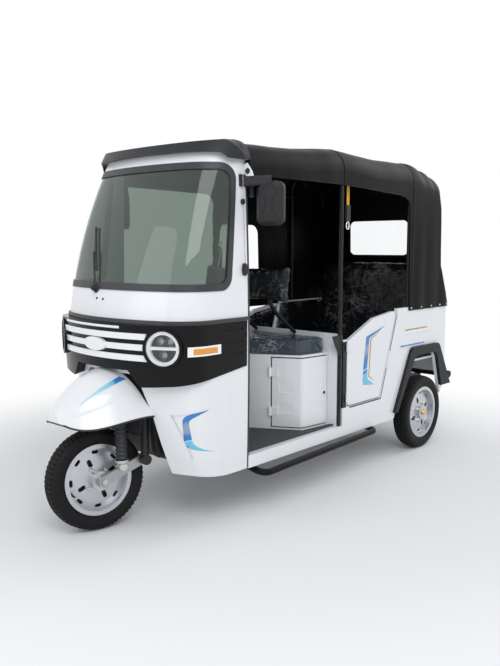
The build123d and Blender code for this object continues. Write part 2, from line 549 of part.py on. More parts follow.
front_shocks = both(shock) - fork_links
bar_x = on_axis(1000)[0]
bar_half = [(bar_x - 150, 255, 1032), (bar_x - 60, 150, 1036), (bar_x - 8, 60, 1008), (bar_x - 8, -60, 1008),
            (bar_x - 60, -150, 1036), (bar_x - 150, -255, 1032)]
handlebar = tube(bar_half, 11, 30) + block((bar_x - 34, bar_x + 34), (-45, 45), (975, 1012)) - stem
grip_way = Vector(-90, 105, -4).normalized()
grip_start = Vector(*bar_half[0])
grip_end = grip_start + grip_way * 115
handle_grips = both(rod(tuple(grip_start), tuple(grip_end), 16))
instrument_pod = block((bar_x - 30, bar_x + 42), (-85, 85), (1019.3, 1062)) - handlebar


def tyre(centre, axle_way):
    shoulder_r = TYRE_R - CROWN_R + math.sqrt(CROWN_R ** 2 - TREAD_HALF ** 2)
    half = [(BEAD_R, 36), (RIM_FLANGE_R + 2, 37), (TYRE_R - 50, TYRE_HALF_W - 2), (TYRE_R - 30, TYRE_HALF_W),
            (TYRE_R - 14, TYRE_HALF_W - 4), (shoulder_r, TREAD_HALF)]
    line = Polyline(*[(r, 0, w) for r, w in half])
    line += ThreePointArc((shoulder_r, 0, TREAD_HALF), (TYRE_R, 0, 0), (shoulder_r, 0, -TREAD_HALF))
    line += Polyline(*[(r, 0, -w) for r, w in reversed(half)])
    line += Line((BEAD_R, 0, -36), (BEAD_R, 0, 36))
    return Plane(centre, z_dir=axle_way) * revolve(make_face(line.edges()), Axis.Z)


def rim(centre, axle_way, hub_in, hub_out, bore_r, bore_end):
    """Steel wheel: barrel with flanges, dished disc with slots, hub with a bore from its inner end."""
    seat_r = BEAD_R - SEAT_GAP
    barrel = [(seat_r, -44), (RIM_FLANGE_R, -44), (RIM_FLANGE_R, -37.4), (seat_r, -37.4),
              (seat_r, 37.4), (RIM_FLANGE_R, 37.4), (RIM_FLANGE_R, 44), (148, 44), (148, 12),
              (110, 20), (40, 24), (40, 14), (110, 11), (148, 3), (148, -44)]
    body = revolve(make_face(Polyline(*[(r, 0, w) for r, w in barrel], close=True)), Axis.Z)
    body += Pos(0, 0, (hub_in + hub_out) / 2) * Cylinder(44, hub_out - hub_in)
    for turn in range(0, 360, 45):
        body -= Rot(0, 0, turn) * Pos(128, 0, 0) * extrude(SlotOverall(34, 16, rotation=90), 40)
    for turn in range(0, 360, 90):
        body -= Rot(0, 0, turn + 22.5) * Pos(84, 0, 0) * extrude(SlotOverall(40, 22), 40)
    body -= Pos(0, 0, (hub_in - 10 + bore_end) / 2) * Cylinder(bore_r + RUNNING_FIT, bore_end - hub_in + 10)
    return Plane(centre, z_dir=axle_way) * body


front_hub = (FRONT_AXLE_X, 0, WHEEL_Z)
front_tyre = tyre(front_hub, (0, 1, 0))
front_rim = rim(front_hub, (0, 1, 0), -70, 70, AXLE_PIN_R, 80)
rear_hub = (REAR_AXLE_X, REAR_TRACK_HALF, TYRE_R)
rear_left_tyre = tyre(rear_hub, (0, 1, 0))
rear_left_rim = rim(rear_hub, (0, 1, 0), -37, 44, STUB_R, 31)
rear_right_tyre = mirror(rear_left_tyre, about=Plane.XZ)
rear_right_rim = mirror(rear_left_rim, about=Plane.XZ)


def steered(piece):
    return piece.rotate(STEER_AXIS, STEER_REST)


pieces = {
    "chassis_frame": chassis_frame,
    "floor_pan": floor_pan,
    "toe_panel": toe_panel,
    "dashboard": dashboard,
    "front_cowl": front_cowl,
    "nose_band": nose_band,
    "grille_bars": grille_bars,
    "headlamp_cups": headlamp_cups,
    "headlamp_rings": headlamp_rings,
    "headlamp_lenses": headlamp_lenses,
    "turn_signals": turn_signals,
    "belt_trim": belt_trim,
    "windscreen_surround": windscreen_surround,
    "windscreen_seal": windscreen_seal,
    "windscreen_glass": windscreen_glass,
    "roof_peak": roof_peak,
    "front_mudguard": front_mudguard,
    "canopy_hoops": canopy_hoops,
    "canopy_cover": canopy_cover,
    "rear_window": rear_window,
    "bulkhead": bulkhead,
    "post_plates": post_plates,
    "rear_tub": rear_tub,
    "arch_flares": arch_flares,
    "left_door": left_door,
    "right_door": right_door,
    "seat_box": seat_box,
    "seat_box_door": seat_box_door,
    "driver_cushion": driver_cushion,
    "driver_backrest": driver_backrest,
    "backrest_posts": back_posts,
    "bench_base": bench_base,
    "bench_cushion": bench_cushion,
    "bench_backrest": bench_backrest,
    "battery_pack": battery_pack,
    "rear_axle": rear_axle,
    "drive_motor": drive_motor,
    "leaf_springs": leaf_springs,
    "side_steps": side_steps,
    "rear_bumper": rear_bumper,
    "tail_lamps": tail_lamps,
    "mirrors": mirrors,
    "mirror_glasses": mirror_glasses,
    "steering_fork": steered(steering_fork),
    "fork_links": steered(fork_links),
    "front_shocks": steered(front_shocks),
    "handlebar": steered(handlebar),
    "handle_grips": steered(handle_grips),
    "instrument_pod": steered(instrument_pod),
    "front_tyre": steered(front_tyre),
    "front_rim": steered(front_rim),
    "rear_left_tyre": rear_left_tyre,
    "rear_left_rim": rear_left_rim,
    "rear_right_tyre": rear_right_tyre,
    "rear_right_rim": rear_right_rim,
}

os.makedirs("parts", exist_ok=True)
for name, piece in pieces.items():
    export_step(piece, f"parts/{name}.step")
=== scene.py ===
import json
import math

import bmesh
import bpy
from mathutils import Matrix, Vector, noise
from mathutils.bvhtree import BVHTree


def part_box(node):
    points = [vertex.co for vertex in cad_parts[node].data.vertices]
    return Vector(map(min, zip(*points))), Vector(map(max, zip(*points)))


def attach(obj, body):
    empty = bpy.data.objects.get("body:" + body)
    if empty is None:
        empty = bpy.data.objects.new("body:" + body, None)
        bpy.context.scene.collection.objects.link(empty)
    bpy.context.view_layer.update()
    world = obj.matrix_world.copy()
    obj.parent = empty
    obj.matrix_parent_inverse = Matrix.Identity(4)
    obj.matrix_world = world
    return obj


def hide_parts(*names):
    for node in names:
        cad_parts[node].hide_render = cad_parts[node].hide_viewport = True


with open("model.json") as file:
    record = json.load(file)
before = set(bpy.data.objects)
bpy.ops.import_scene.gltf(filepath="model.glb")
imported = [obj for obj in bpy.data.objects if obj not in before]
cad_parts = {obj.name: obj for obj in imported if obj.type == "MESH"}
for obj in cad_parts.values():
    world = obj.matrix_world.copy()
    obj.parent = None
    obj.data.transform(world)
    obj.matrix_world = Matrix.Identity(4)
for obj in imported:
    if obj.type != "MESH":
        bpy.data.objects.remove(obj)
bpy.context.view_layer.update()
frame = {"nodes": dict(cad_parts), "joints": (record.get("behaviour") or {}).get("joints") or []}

scene = bpy.context.scene

# Studio: a pale floor that fades into a white sky, one large soft lamp high on the vehicle's left front
# and a weaker one behind, set so that white paint renders as it is written.
WHITE = (1, 1, 1, 1)
SKY_COLOUR = (0.93, 0.96, 1, 1)
SKY_LIGHT = 0.62
FLOOR_COLOUR = (0.93, 0.93, 0.93, 1)
FLOOR_SIZE = 40
SHADOW_REACH = (1.4, 3.2)   # the floor turns from lit paint to plain white between these distances
LAMP_TARGET = Vector((0, 0, 0.8))
LAMPS = [  # name, place, size, watts
    ("key_lamp", (3.4, 3.6, 4.4), 3.0, 105),
    ("front_lamp", (5.2, -1.2, 2.6), 2.6, 28),
    ("rear_lamp", (-4.2, 1.8, 3.6), 3.0, 50),
]
CAMERA_PLACE = (3.1865, 2.7418, 1.3277)
CAMERA_HEADING = 221.91
CAMERA_DIP = 6.856
CAMERA_LENS = 38.68


def feed(tree, socket, value):
    """Link a socket to another one, or set its value."""
    if isinstance(value, bpy.types.NodeSocket):
        tree.links.new(value, socket)
    else:
        socket.default_value = value


def add(tree, kind, inputs=(), **options):
    """Add a shader node; inputs are (name or number, value or socket) pairs."""
    node = tree.nodes.new("ShaderNode" + kind)
    for option, value in options.items():
        setattr(node, option, value)
    for key, value in inputs:
        feed(tree, node.inputs[key], value)
    return node


def combine(tree, operation, first, second):
    """Output of a Math node."""
    return add(tree, "Math", [(0, first), (1, second)], operation=operation).outputs[0]


def new_material(name):
    """Material with an empty tree and its output node."""
    material = bpy.data.materials.new(name)
    material.use_nodes = True
    tree = material.node_tree
    tree.nodes.clear()
    output = tree.nodes.new("ShaderNodeOutputMaterial")
    return material, tree, output


def seen_rays(tree):
    """1 for rays from the camera, also through glass or by way of a shiny surface."""
    rays = add(tree, "LightPath").outputs
    bent = combine(tree, "MAXIMUM", rays["Is Glossy Ray"], rays["Is Transmission Ray"])
    return combine(tree, "MAXIMUM", rays["Is Camera Ray"], bent)


world = bpy.data.worlds.new("white_sky")
scene.world = world
world.use_nodes = True
sky = world.node_tree
sky.nodes.clear()
sky_lit = add(sky, "Background", [("Color", SKY_COLOUR), ("Strength", SKY_LIGHT)])
sky_seen = add(sky, "Background", [("Color", WHITE), ("Strength", 1.0)])
sky_mix = add(sky, "MixShader", [(0, seen_rays(sky)), (1, sky_lit.outputs[0]), (2, sky_seen.outputs[0])])
sky_out = sky.nodes.new("ShaderNodeOutputWorld")
sky.links.new(sky_mix.outputs[0], sky_out.inputs["Surface"])

floor_paint, tree, output = new_material("pale_floor")
place = add(tree, "TexCoord").outputs["Object"]
distance = add(tree, "VectorMath", [(0, place)], operation="LENGTH").outputs["Value"]
fade_start, fade_end = SHADOW_REACH
far = add(tree, "MapRange", [("Value", distance), ("From Min", fade_start), ("From Max", fade_end)],
          interpolation_type="SMOOTHSTEP").outputs[0]
lit = add(tree, "BsdfDiffuse", [("Color", FLOOR_COLOUR)])
white = add(tree, "Emission", [("Color", WHITE), ("Strength", 1.0)])
blank = combine(tree, "MULTIPLY", far, seen_rays(tree))
floor_mix = add(tree, "MixShader", [(0, blank), (1, lit.outputs[0]), (2, white.outputs[0])])
tree.links.new(floor_mix.outputs[0], output.inputs["Surface"])
bpy.ops.mesh.primitive_plane_add(size=FLOOR_SIZE)
floor = bpy.context.object
floor.name = "studio_floor"
floor.data.materials.append(floor_paint)

for name, lamp_place, size, watts in LAMPS:
    lamp = bpy.data.lights.new(name, "AREA")
    lamp.size = size
    lamp.energy = watts
    lamp_object = bpy.data.objects.new(name, lamp)
    scene.collection.objects.link(lamp_object)
    lamp_object.location = lamp_place
    aim = LAMP_TARGET - Vector(lamp_place)
    lamp_object.rotation_euler = aim.to_track_quat("-Z", "Y").to_euler()

camera = bpy.data.cameras.new("photo_camera")
camera.lens = CAMERA_LENS
camera_object = bpy.data.objects.new("photo_camera", camera)
scene.collection.objects.link(camera_object)
camera_object.location = CAMERA_PLACE
camera_object.rotation_euler = (math.radians(90 - CAMERA_DIP), 0, math.radians(CAMERA_HEADING - 90))
scene.camera = camera_object
scene.view_settings.view_transform = "Standard"

# Chassis: welded square rails and a bent spine tube, sprayed satin black. The axle, leaf springs, drive
# block and battery hang from it and carry a thin film of road dust.
LOW_TINT_COLOUR = (0.30, 0.27, 0.23, 1)


def new_group(name, inputs, outputs):
    """Shader node group with named sockets; returns the group, its inputs and its outputs."""
    group = bpy.data.node_groups.new(name, "ShaderNodeTree")
    for label, kind, value in inputs:
        socket = group.interface.new_socket(label, in_out="INPUT", socket_type="NodeSocket" + kind)
        socket.default_value = value
    for label, kind in outputs:
        group.interface.new_socket(label, in_out="OUTPUT", socket_type="NodeSocket" + kind)
    return group, group.nodes.new("NodeGroupInput").outputs, group.nodes.new("NodeGroupOutput").inputs


def mix_colour(tree, factor, first, second, how="MIX"):
    """Output of a colour Mix node."""
    node = add(tree, "Mix", data_type="RGBA", blend_type=how)
    for socket, value in ((0, factor), (6, first), (7, second)):
        feed(tree, node.inputs[socket], value)
    return node.outputs[2]


def use_group(tree, group, inputs):
    """Outputs of a node group put into a tree."""
    node = tree.nodes.new("ShaderNodeGroup")
    node.node_tree = group
    for key, value in inputs:
        feed(tree, node.inputs[key], value)
    return node.outputs


def around(tree, middle, spread, value):
    """A number that varies about its middle as a 0 to 1 value does."""
    swing = combine(tree, "MULTIPLY", combine(tree, "SUBTRACT", value, 0.5), spread)
    return combine(tree, "ADD", middle, swing)


# Grain: cloudy changes of colour and gloss, and the fine texture of a sprayed or moulded surface.
grain, taken, given = new_group(
    "surface_grain",
    [("Colour", "Color", WHITE), ("Roughness", "Float", 0.5), ("Scale", "Float", 60.0),
     ("Colour Spread", "Float", 0.1), ("Roughness Spread", "Float", 0.1)],
    [("Colour", "Color"), ("Roughness", "Float"), ("Height", "Float")])
place = add(grain, "TexCoord").outputs["Object"]
clouds = add(grain, "TexNoise", [("Vector", place), ("Scale", 5.0), ("Detail", 4.0)]).outputs[0]
specks = add(grain, "TexNoise", [("Vector", place), ("Scale", taken["Scale"]), ("Detail", 3.0)]).outputs[0]
shade = around(grain, 1.0, taken["Colour Spread"], clouds)
grey = add(grain, "CombineColor", [(0, shade), (1, shade), (2, shade)]).outputs[0]
feed(grain, given["Colour"], mix_colour(grain, 1.0, taken["Colour"], grey, "MULTIPLY"))
feed(grain, given["Roughness"], around(grain, taken["Roughness"], taken["Roughness Spread"], clouds))
feed(grain, given["Height"], specks)

# Low tint: a brownish grey mixed in from the ground up to a height, in patches; it lightens black parts and
# makes white paint darker towards the bottom.
low_tint, taken, given = new_group(
    "low_tint_by_height",
    [("Colour", "Color", WHITE), ("Tint Colour", "Color", LOW_TINT_COLOUR), ("Top", "Float", 0.5),
     ("Amount", "Float", 0.4)],
    [("Colour", "Color")])
place = add(low_tint, "TexCoord").outputs["Object"]
height = add(low_tint, "SeparateXYZ", [(0, place)]).outputs["Z"]
low = add(low_tint, "MapRange", [("Value", height), ("From Min", taken["Top"]), ("From Max", 0.0)]).outputs[0]
patches = add(low_tint, "TexNoise", [("Vector", place), ("Scale", 14.0), ("Detail", 6.0)]).outputs[0]
mask = combine(low_tint, "MULTIPLY", combine(low_tint, "MULTIPLY", low, patches), taken["Amount"])
feed(low_tint, given["Colour"], mix_colour(low_tint, mask, taken["Colour"], taken["Tint Colour"]))


def grained(tree, colour, rough, scale, spread, gloss_spread):
    """Outputs of the grain group for a colour and roughness."""
    return use_group(tree, grain, [("Colour", (*colour, 1)), ("Roughness", rough), ("Scale", scale),
                                   ("Colour Spread", spread), ("Roughness Spread", gloss_spread)])


def surface(tree, output, shader, colour, rough, height=None, bump=0.0, depth=0.0):
    """Feed a shader's colour, roughness and relief, and link it to the material's output."""
    feed(tree, shader.inputs["Base Color"], colour)
    feed(tree, shader.inputs["Roughness"], rough)
    if height is not None:
        relief = add(tree, "Bump", [("Strength", bump), ("Distance", depth), ("Height", height)])
        feed(tree, shader.inputs["Normal"], relief.outputs[0])
    tree.links.new(shader.outputs[0], output.inputs["Surface"])


def finish(name, colour, rough, metallic=0.0, coat=0.0, scale=400.0, spread=0.06, gloss_spread=0.08,
           bump=0.08, depth=0.0004, low_tint_amount=0.0, low_tint_top=0.5, **sockets):
    """Painted, moulded or metal finish with grain and, if wanted, a brownish grey tint that grows towards the
    ground.
    """
    material, tree, output = new_material(name)
    shader = add(tree, "BsdfPrincipled", [("Metallic", metallic), ("Coat Weight", coat)])
    for socket, value in sockets.items():
        shader.inputs[socket.replace("_", " ")].default_value = value
    texture = grained(tree, colour, rough, scale, spread, gloss_spread)
    colour_out = texture["Colour"]
    if low_tint_amount:
        layer = [("Colour", colour_out), ("Top", low_tint_top), ("Amount", low_tint_amount)]
        colour_out = use_group(tree, low_tint, layer)["Colour"]
    surface(tree, output, shader, colour_out, texture["Roughness"], texture["Height"], bump, depth)
    return material


def dress(material, *nodes):
    """Give carried-over pieces their finish."""
    for node in nodes:
        for slot in frame["nodes"][node].material_slots:
            slot.material = material


frame_black = finish("frame_black_paint", (0.012, 0.012, 0.013), 0.40, scale=700, spread=0.2, low_tint_amount=0.3,
                     low_tint_top=0.45, Specular_IOR_Level=0.3)
spring_steel = finish("spring_steel", (0.20, 0.20, 0.21), 0.5, 0.8, scale=300, spread=0.3, low_tint_amount=0.5)
cast_metal = finish("cast_alloy", (0.48, 0.48, 0.50), 0.48, 0.9, scale=500, spread=0.15, bump=0.3, low_tint_amount=0.5)
battery_plastic = finish("battery_case", (0.06, 0.07, 0.09), 0.6, scale=900, bump=0.2)
dress(frame_black, "chassis_frame", "rear_axle")
dress(spring_steel, "leaf_springs")
dress(cast_metal, "drive_motor")
dress(battery_plastic, "battery_pack")

# Wheels: moulded rubber tyres with zigzag ribs and cut shoulder blocks, on pressed steel rims painted
# silver. Each rim has four lug bolts, a valve and a black brake plate behind its windows, and the rear hubs
# have brass dust caps.
TYRE_R = 0.240
CROWN_R = 0.120
TREAD_HALF = 0.040
PITCHES = 64            # tread blocks round the tyre
PITCH_STEPS = 6
TREAD_COLUMNS = 29
SIDEWALL = [            # radius, half width from bead to shoulder
    (0.1563, 0.0360), (0.1690, 0.0380), (0.1745, 0.0425), (0.1790, 0.0445), (0.1800, 0.0462),
    (0.1905, 0.0482), (0.2000, 0.0496), (0.2100, 0.0500), (0.2150, 0.0497), (0.2165, 0.0484),
    (0.2260, 0.0460)]
GROOVE_AT = 0.0125
GROOVE_HALF = 0.0024
GROOVE_DEPTH = 0.0075
GROOVE_SWING = 0.0035   # how far the zigzag strays to each side
SLOT_FROM = 0.026       # shoulder slots, from here outward
SLOT_SHARE = 0.3        # of a pitch
NICK_HALF = 0.007       # short nicks in the middle rib
NICK_SHARE = 0.2
LUG_CIRCLE = 0.060
LUG_COUNT = 4
LUG_TURNS = (22.5, 67.5)    # degrees to try, so that a lug misses the rim's windows
WINDOW_CIRCLE = 0.084
VALVE_AT = (0.136, 0.028, 0.018)
BRAKE_PLATE = [(0.046, -0.004), (0.1475, -0.004), (0.1475, -0.012), (0.046, -0.012), (0.046, -0.004)]
LUG_BOLT = [(0, 0.016), (0.006, 0.0155), (0.0085, 0.013), (0.0098, 0.012), (0.0100, 0.001), (0.0135, 0.0),
            (0, -0.001)]
VALVE = [(0, 0.042), (0.003, 0.0415), (0.0036, 0.028), (0.0048, 0.026), (0.0055, 0.004), (0.008, 0.0),
         (0, -0.004)]
DUST_CAP = [(0, 0.013), (0.012, 0.0125), (0.0175, 0.010), (0.0195, 0.006), (0.0200, 0.001), (0.0235, 0.0),
            (0.0235, -0.002), (0, -0.002)]


def make_piece(name, verts, faces, material, body, slot=None, sharp=32):
    """Mesh piece that rides a body, with merged points, outward normals and edges kept sharp past an angle."""
    mesh = bpy.data.meshes.new(name)
    mesh.from_pydata([tuple(v) for v in verts], [], faces)
    shape = bmesh.new()
    shape.from_mesh(mesh)
    bmesh.ops.remove_doubles(shape, verts=shape.verts, dist=1e-6)
    bmesh.ops.recalc_face_normals(shape, faces=shape.faces)
    shape.to_mesh(mesh)
    shape.free()
    mesh.shade_smooth()
    mesh.set_sharp_from_angle(angle=math.radians(sharp))
    mesh.materials.append(material)
    piece = bpy.data.objects.new(name, mesh)
    scene.collection.objects.link(piece)
    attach(piece, body)
    return piece


def grid_faces(rows, columns, wrap_rows=False, wrap_columns=False):
    """Quads of a grid of points stored row by row."""
    faces = []
    for r in range(rows if wrap_rows else rows - 1):
        for c in range(columns if wrap_columns else columns - 1):
            this_row, next_row = r * columns, (r + 1) % rows * columns
            beside = (c + 1) % columns
            faces.append((this_row + c, this_row + beside, next_row + beside, next_row + c))
    return faces


def lathe(profile, where, steps=48):
    """Turn a (radius, height) profile about the local Z of a matrix; ends at radius 0 close."""
    verts = []
    for step in range(steps):
        turn = 2 * math.pi * step / steps
        for radius, height in profile:
            verts.append(where @ Vector((radius * math.cos(turn), radius * math.sin(turn), height)))
    return verts, grid_faces(steps, len(profile), wrap_rows=True)


def joined(*shapes):
    """One list of points and faces from several."""
    verts, faces = [], []
    for more_verts, more_faces in shapes:
        shift = len(verts)
        verts += more_verts
        faces += [tuple(i + shift for i in face) for face in more_faces]
    return verts, faces


def facing(place, way):
    """Matrix at a place whose local Z points along a direction."""
    return Matrix.Translation(place) @ Vector((0, 0, 1)).rotation_difference(Vector(way)).to_matrix().to_4x4()


def tread_cut(across, turn):
    """Depth of the tread pattern at a place across the tyre and a number of pitches round it."""
    zigzag = GROOVE_SWING * (2 * abs(2 * (turn % 1) - 1) - 1)
    if abs(abs(across) - GROOVE_AT - zigzag) < GROOVE_HALF:
        return GROOVE_DEPTH
    phase = (turn + (0.5 if across < 0 else 0)) % 1
    if abs(across) > SLOT_FROM and phase < SLOT_SHARE:
        return GROOVE_DEPTH * 0.8
    if abs(across) < NICK_HALF and phase < NICK_SHARE:
        return GROOVE_DEPTH * 0.4
    return 0.0


def tyre_shape(where):
    """Tyre about the local Z of a matrix: sidewall, cut tread, and the other sidewall."""
    steps = PITCHES * PITCH_STEPS
    verts = []
    for step in range(steps):
        turn = 2 * math.pi * step / steps
        section = list(SIDEWALL)
        for column in range(TREAD_COLUMNS):
            across = TREAD_HALF * 1.05 * (1 - 2 * column / (TREAD_COLUMNS - 1))
            radius = TYRE_R - CROWN_R + math.sqrt(CROWN_R ** 2 - across ** 2)
            section.append((radius - tread_cut(across, step / PITCH_STEPS), across))
        section += [(radius, -half) for radius, half in reversed(SIDEWALL)]
        verts += [where @ Vector((r * math.cos(turn), r * math.sin(turn), w)) for r, w in section]
    return verts, grid_faces(steps, len(section), wrap_rows=True, wrap_columns=True)


tyre_rubber = finish("tyre_rubber", (0.010, 0.010, 0.011), 0.58, scale=260, spread=0.35, gloss_spread=0.2,
                     bump=0.25, depth=0.0006, Specular_IOR_Level=0.18)
rim_silver = finish("rim_silver_paint", (0.56, 0.58, 0.61), 0.34, 0.75, coat=0.25, scale=1200, spread=0.10)
bolt_steel = finish("zinc_bolts", (0.60, 0.60, 0.58), 0.32, 1.0, spread=0.2)
brass = finish("brass_dust_cap", (0.72, 0.52, 0.20), 0.28, 1.0, spread=0.2)
soft_rubber = finish("soft_rubber", (0.020, 0.021, 0.024), 0.5, scale=500, spread=0.2, bump=0.15)

joints = {joint["name"]: joint for joint in frame["joints"]}
WHEELS = [  # name, side that the dish faces, height of the hub face, whether it has a dust cap
    ("front", 1, 0.0705, False),
    ("rear_left", 1, 0.044, True),
    ("rear_right", -1, 0.044, True),
]


def seat_tree(*nodes):
    """Ray-cast tree over the surfaces of carried-over pieces."""
    verts, faces = [], []
    for node in nodes:
        mesh = frame["nodes"][node].data
        shift = len(verts)
        verts += [v.co.copy() for v in mesh.vertices]
        faces += [tuple(i + shift for i in p.vertices) for p in mesh.polygons]
    return BVHTree.FromPolygons(verts, faces)


def on_disc(disc, where, radius, degrees):
    """Point on a rim's outer face at a radius and an angle, or None over a window."""
    angle = math.radians(degrees)
    radial = Vector((math.cos(angle), math.sin(angle), 0))
    outward = where.to_3x3() @ Vector((0, 0, 1))
    return disc.ray_cast(where @ (radial * radius + Vector((0, 0, 0.2))), -outward)[0]


for wheel, side, hub_face, capped in WHEELS:
    body = wheel + "_wheel"
    joint = joints[wheel + "_wheel_spin"]
    where = facing(joint["pos_m"], Vector(joint["axis"]) * side)
    tyre = make_piece(wheel + "_tread_tyre", *tyre_shape(where), tyre_rubber, body, "tyre_rubber", 40)
    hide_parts(wheel + "_tyre")
    dress(rim_silver, wheel + "_rim")
    make_piece(wheel + "_brake_plate", *lathe(BRAKE_PLATE, where), frame_black, body, "black_paint")
    disc = seat_tree(wheel + "_rim")
    outward = where.to_3x3() @ Vector((0, 0, 1))
    bolts = []
    for lug in range(LUG_COUNT):
        turns = [turn + 360 * lug / LUG_COUNT for turn in LUG_TURNS]
        closed = [turn for turn in turns if on_disc(disc, where, WINDOW_CIRCLE, turn)] or turns
        bolts.append(lathe(LUG_BOLT, facing(on_disc(disc, where, LUG_CIRCLE, closed[0]), outward), 6))
    make_piece(wheel + "_lug_bolts", *joined(*bolts), bolt_steel, body, "steel")
    valve_foot = facing(where @ Vector(VALVE_AT), outward)
    make_piece(wheel + "_valve", *lathe(VALVE, valve_foot, 16), soft_rubber, body, "rubber_seal")
    if capped:
        hub = facing(where @ Vector((0, 0, hub_face)), outward)
        make_piece(wheel + "_dust_cap", *lathe(DUST_CAP, hub, 32), brass, body, "steel")

# Steering: a black tube fork on a raked stem, with trailing steel links, two coil shock absorbers inside
# ribbed rubber gaiters, and a bent handlebar with rubber grips and a small moulded meter.
STEER_REST = -12
SHOCK_AT = (1.142, 0.118)   # x and distance from the middle
EYE_Z = 0.300
GAITER = (0.333, 0.505)     # lower and upper end
GAITER_RIBS = 9
GAITER_RIB = [(0.1, 0.0255), (0.4, 0.0305), (0.5, 0.0315), (0.6, 0.0305), (0.9, 0.0255)]  # share, radius
LOWER_CUP = [(0, 0.313), (0.020, 0.313), (0.031, 0.320), (0.0335, 0.327), (0.0335, 0.333), (0, 0.333)]
UPPER_CUP = [(0, 0.505), (0.033, 0.505), (0.034, 0.520), (0.028, 0.526), (0.012, 0.532), (0.012, 0.577),
             (0, 0.577)]
EYE = [(0, -0.018), (0.018, -0.018), (0.020, -0.016), (0.020, 0.016), (0.018, 0.018), (0, 0.018)]
AXLE_NUT = [(0, 0.020), (0.008, 0.019), (0.008, 0.012), (0.014, 0.011), (0.016, 0.0), (0, 0.0)]
AXLE_NUT_OUT = 0.104
steer = joints["steering"]
to_axis = Matrix.Translation(steer["pos_m"])
turned = to_axis @ Matrix.Rotation(math.radians(STEER_REST), 4, Vector(steer["axis"])) @ to_axis.inverted()
links_steel = finish("link_steel", (0.42, 0.43, 0.45), 0.42, 0.9, scale=500, spread=0.2, low_tint_amount=0.5)
spring_seat_paint = finish("spring_seat_alloy", (0.62, 0.62, 0.60), 0.38, 0.9, spread=0.15)
dress(frame_black, "steering_fork", "handlebar")
dress(links_steel, "fork_links")

low, high = GAITER
rise = (high - low) / GAITER_RIBS
bellows = [(0, low), (GAITER_RIB[0][1] - 0.004, low)]
for rib in range(GAITER_RIBS):
    bellows += [(radius, low + rise * (rib + share)) for share, radius in GAITER_RIB]
bellows += [(GAITER_RIB[0][1] - 0.003, high), (0, high)]
gaiters, seats = [], []
for side in (1, -1):
    upright = turned @ Matrix.Translation((SHOCK_AT[0], side * SHOCK_AT[1], 0))
    gaiters.append(lathe(bellows, upright, 40))
    seats += [lathe(LOWER_CUP, upright, 40), lathe(UPPER_CUP, upright, 40)]
    seats.append(lathe(EYE, upright @ facing((0, 0, EYE_Z), (0, 1, 0)), 32))
gaiter = make_piece("shock_gaiters", *joined(*gaiters), soft_rubber, "steering", "rubber_seal", 70)
make_piece("shock_seats", *joined(*seats), spring_seat_paint, "steering", "steel")
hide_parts("front_shocks")

grip_rubber = finish("grip_rubber", (0.022, 0.022, 0.024), 0.6, scale=250, spread=0.2, bump=0.5, depth=0.0008)
meter_plastic = finish("meter_plastic", (0.03, 0.03, 0.033), 0.45, scale=900, bump=0.25)
dress(grip_rubber, "handle_grips")
dress(meter_plastic, "instrument_pod")
hub = joints["front_wheel_spin"]
axle_ends = []
for side in (1, -1):
    outward = Vector(hub["axis"]) * side
    axle_ends.append(lathe(AXLE_NUT, facing(Vector(hub["pos_m"]) + outward * AXLE_NUT_OUT, outward), 6))
make_piece("front_axle_nuts", *joined(*axle_ends), bolt_steel, "steering", "steel")

# Cab floor and inside: folded sheet floor with white sills, a speckled rubber mat, a moulded toe panel and
# dashboard shelf, and the white wall and seat box welded behind the driver.
FLOOR_TOP = 0.320
MAT_T = 0.007
MAT_HALF = 0.441
MAT_REAR, MAT_FRONT = -0.088, 0.776
MAT_BEHIND = [(MAT_REAR, MAT_HALF), (MAT_REAR, 0.415), (0.134, 0.389), (0.296, 0.103)]     # left half
MAT_NOSE = [(0.66, -MAT_HALF), (MAT_FRONT, -0.40), (MAT_FRONT, 0.40), (0.66, MAT_HALF)]
MAT_COLOUR = (0.060, 0.062, 0.068)
FLECK_COLOUR = (0.28, 0.29, 0.31, 1)
FLAP = [(-0.40, 0.236), (0.40, 0.236), (0.40, 0.326), (-0.40, 0.326)]
LOCK_WAY = Vector((0.1197, 0.9928, 0))
LOCK_PLACE = Vector((-0.0348, 0.4029, 0.517)) + LOCK_WAY * 0.0071
LOCK = [(0, 0.0), (0.0085, 0.0), (0.0085, 0.0018), (0.007, 0.0026), (0.0016, 0.0026), (0.0012, 0.001),
        (0, 0.001)]
# The white paint gets a little of the low tint, so it is slightly darker and browner towards the bottom.
white_paint = finish("white_body_paint", (0.86, 0.875, 0.895), 0.22, coat=0.3, scale=900, spread=0.015,
                     gloss_spread=0.05, bump=0.03, low_tint_amount=0.10, low_tint_top=0.42)
dark_plastic = finish("moulded_dark_plastic", (0.020, 0.0205, 0.022), 0.5, scale=1100, spread=0.12, bump=0.22,
                      Specular_IOR_Level=0.3)
dress(white_paint, "floor_pan", "bulkhead", "seat_box", "seat_box_door", "bench_base")
dress(dark_plastic, "toe_panel", "dashboard")


def plate(name, outline, where, depth, material, slot=None, bevel=0.0):
    """Flat piece on the body: an outline in a matrix's local XY pushed along its Z, with rounded edges."""
    count = len(outline)
    verts = [where @ Vector((x, y, z)) for z in (0.0, depth) for x, y in outline]
    faces = [tuple(range(count)), tuple(range(count, 2 * count))]
    faces += [(i, (i + 1) % count, count + (i + 1) % count, count + i) for i in range(count)]
    piece = make_piece(name, verts, faces, material, "body", slot)
    if bevel:
        rounding = piece.modifiers.new("rounding", "BEVEL")
        rounding.width = bevel
        rounding.segments = 3
        rounding.limit_method = "ANGLE"
        rounding.harden_normals = True
    return piece


def facing_front(x, y=0.0, z=0.0):
    """Matrix whose local X, Y and Z run to the left, up and forward."""
    return Matrix(((0, 0, 1, x), (1, 0, 0, y), (0, 1, 0, z), (0, 0, 0, 1)))


plate("splash_flap", FLAP, facing_front(0.790), 0.005, soft_rubber, "rubber_seal", 0.001)
make_piece("box_lock_face", *lathe(LOCK, facing(LOCK_PLACE, LOCK_WAY), 24), dark_plastic, "seat_box_door",
           "dark_plastic")

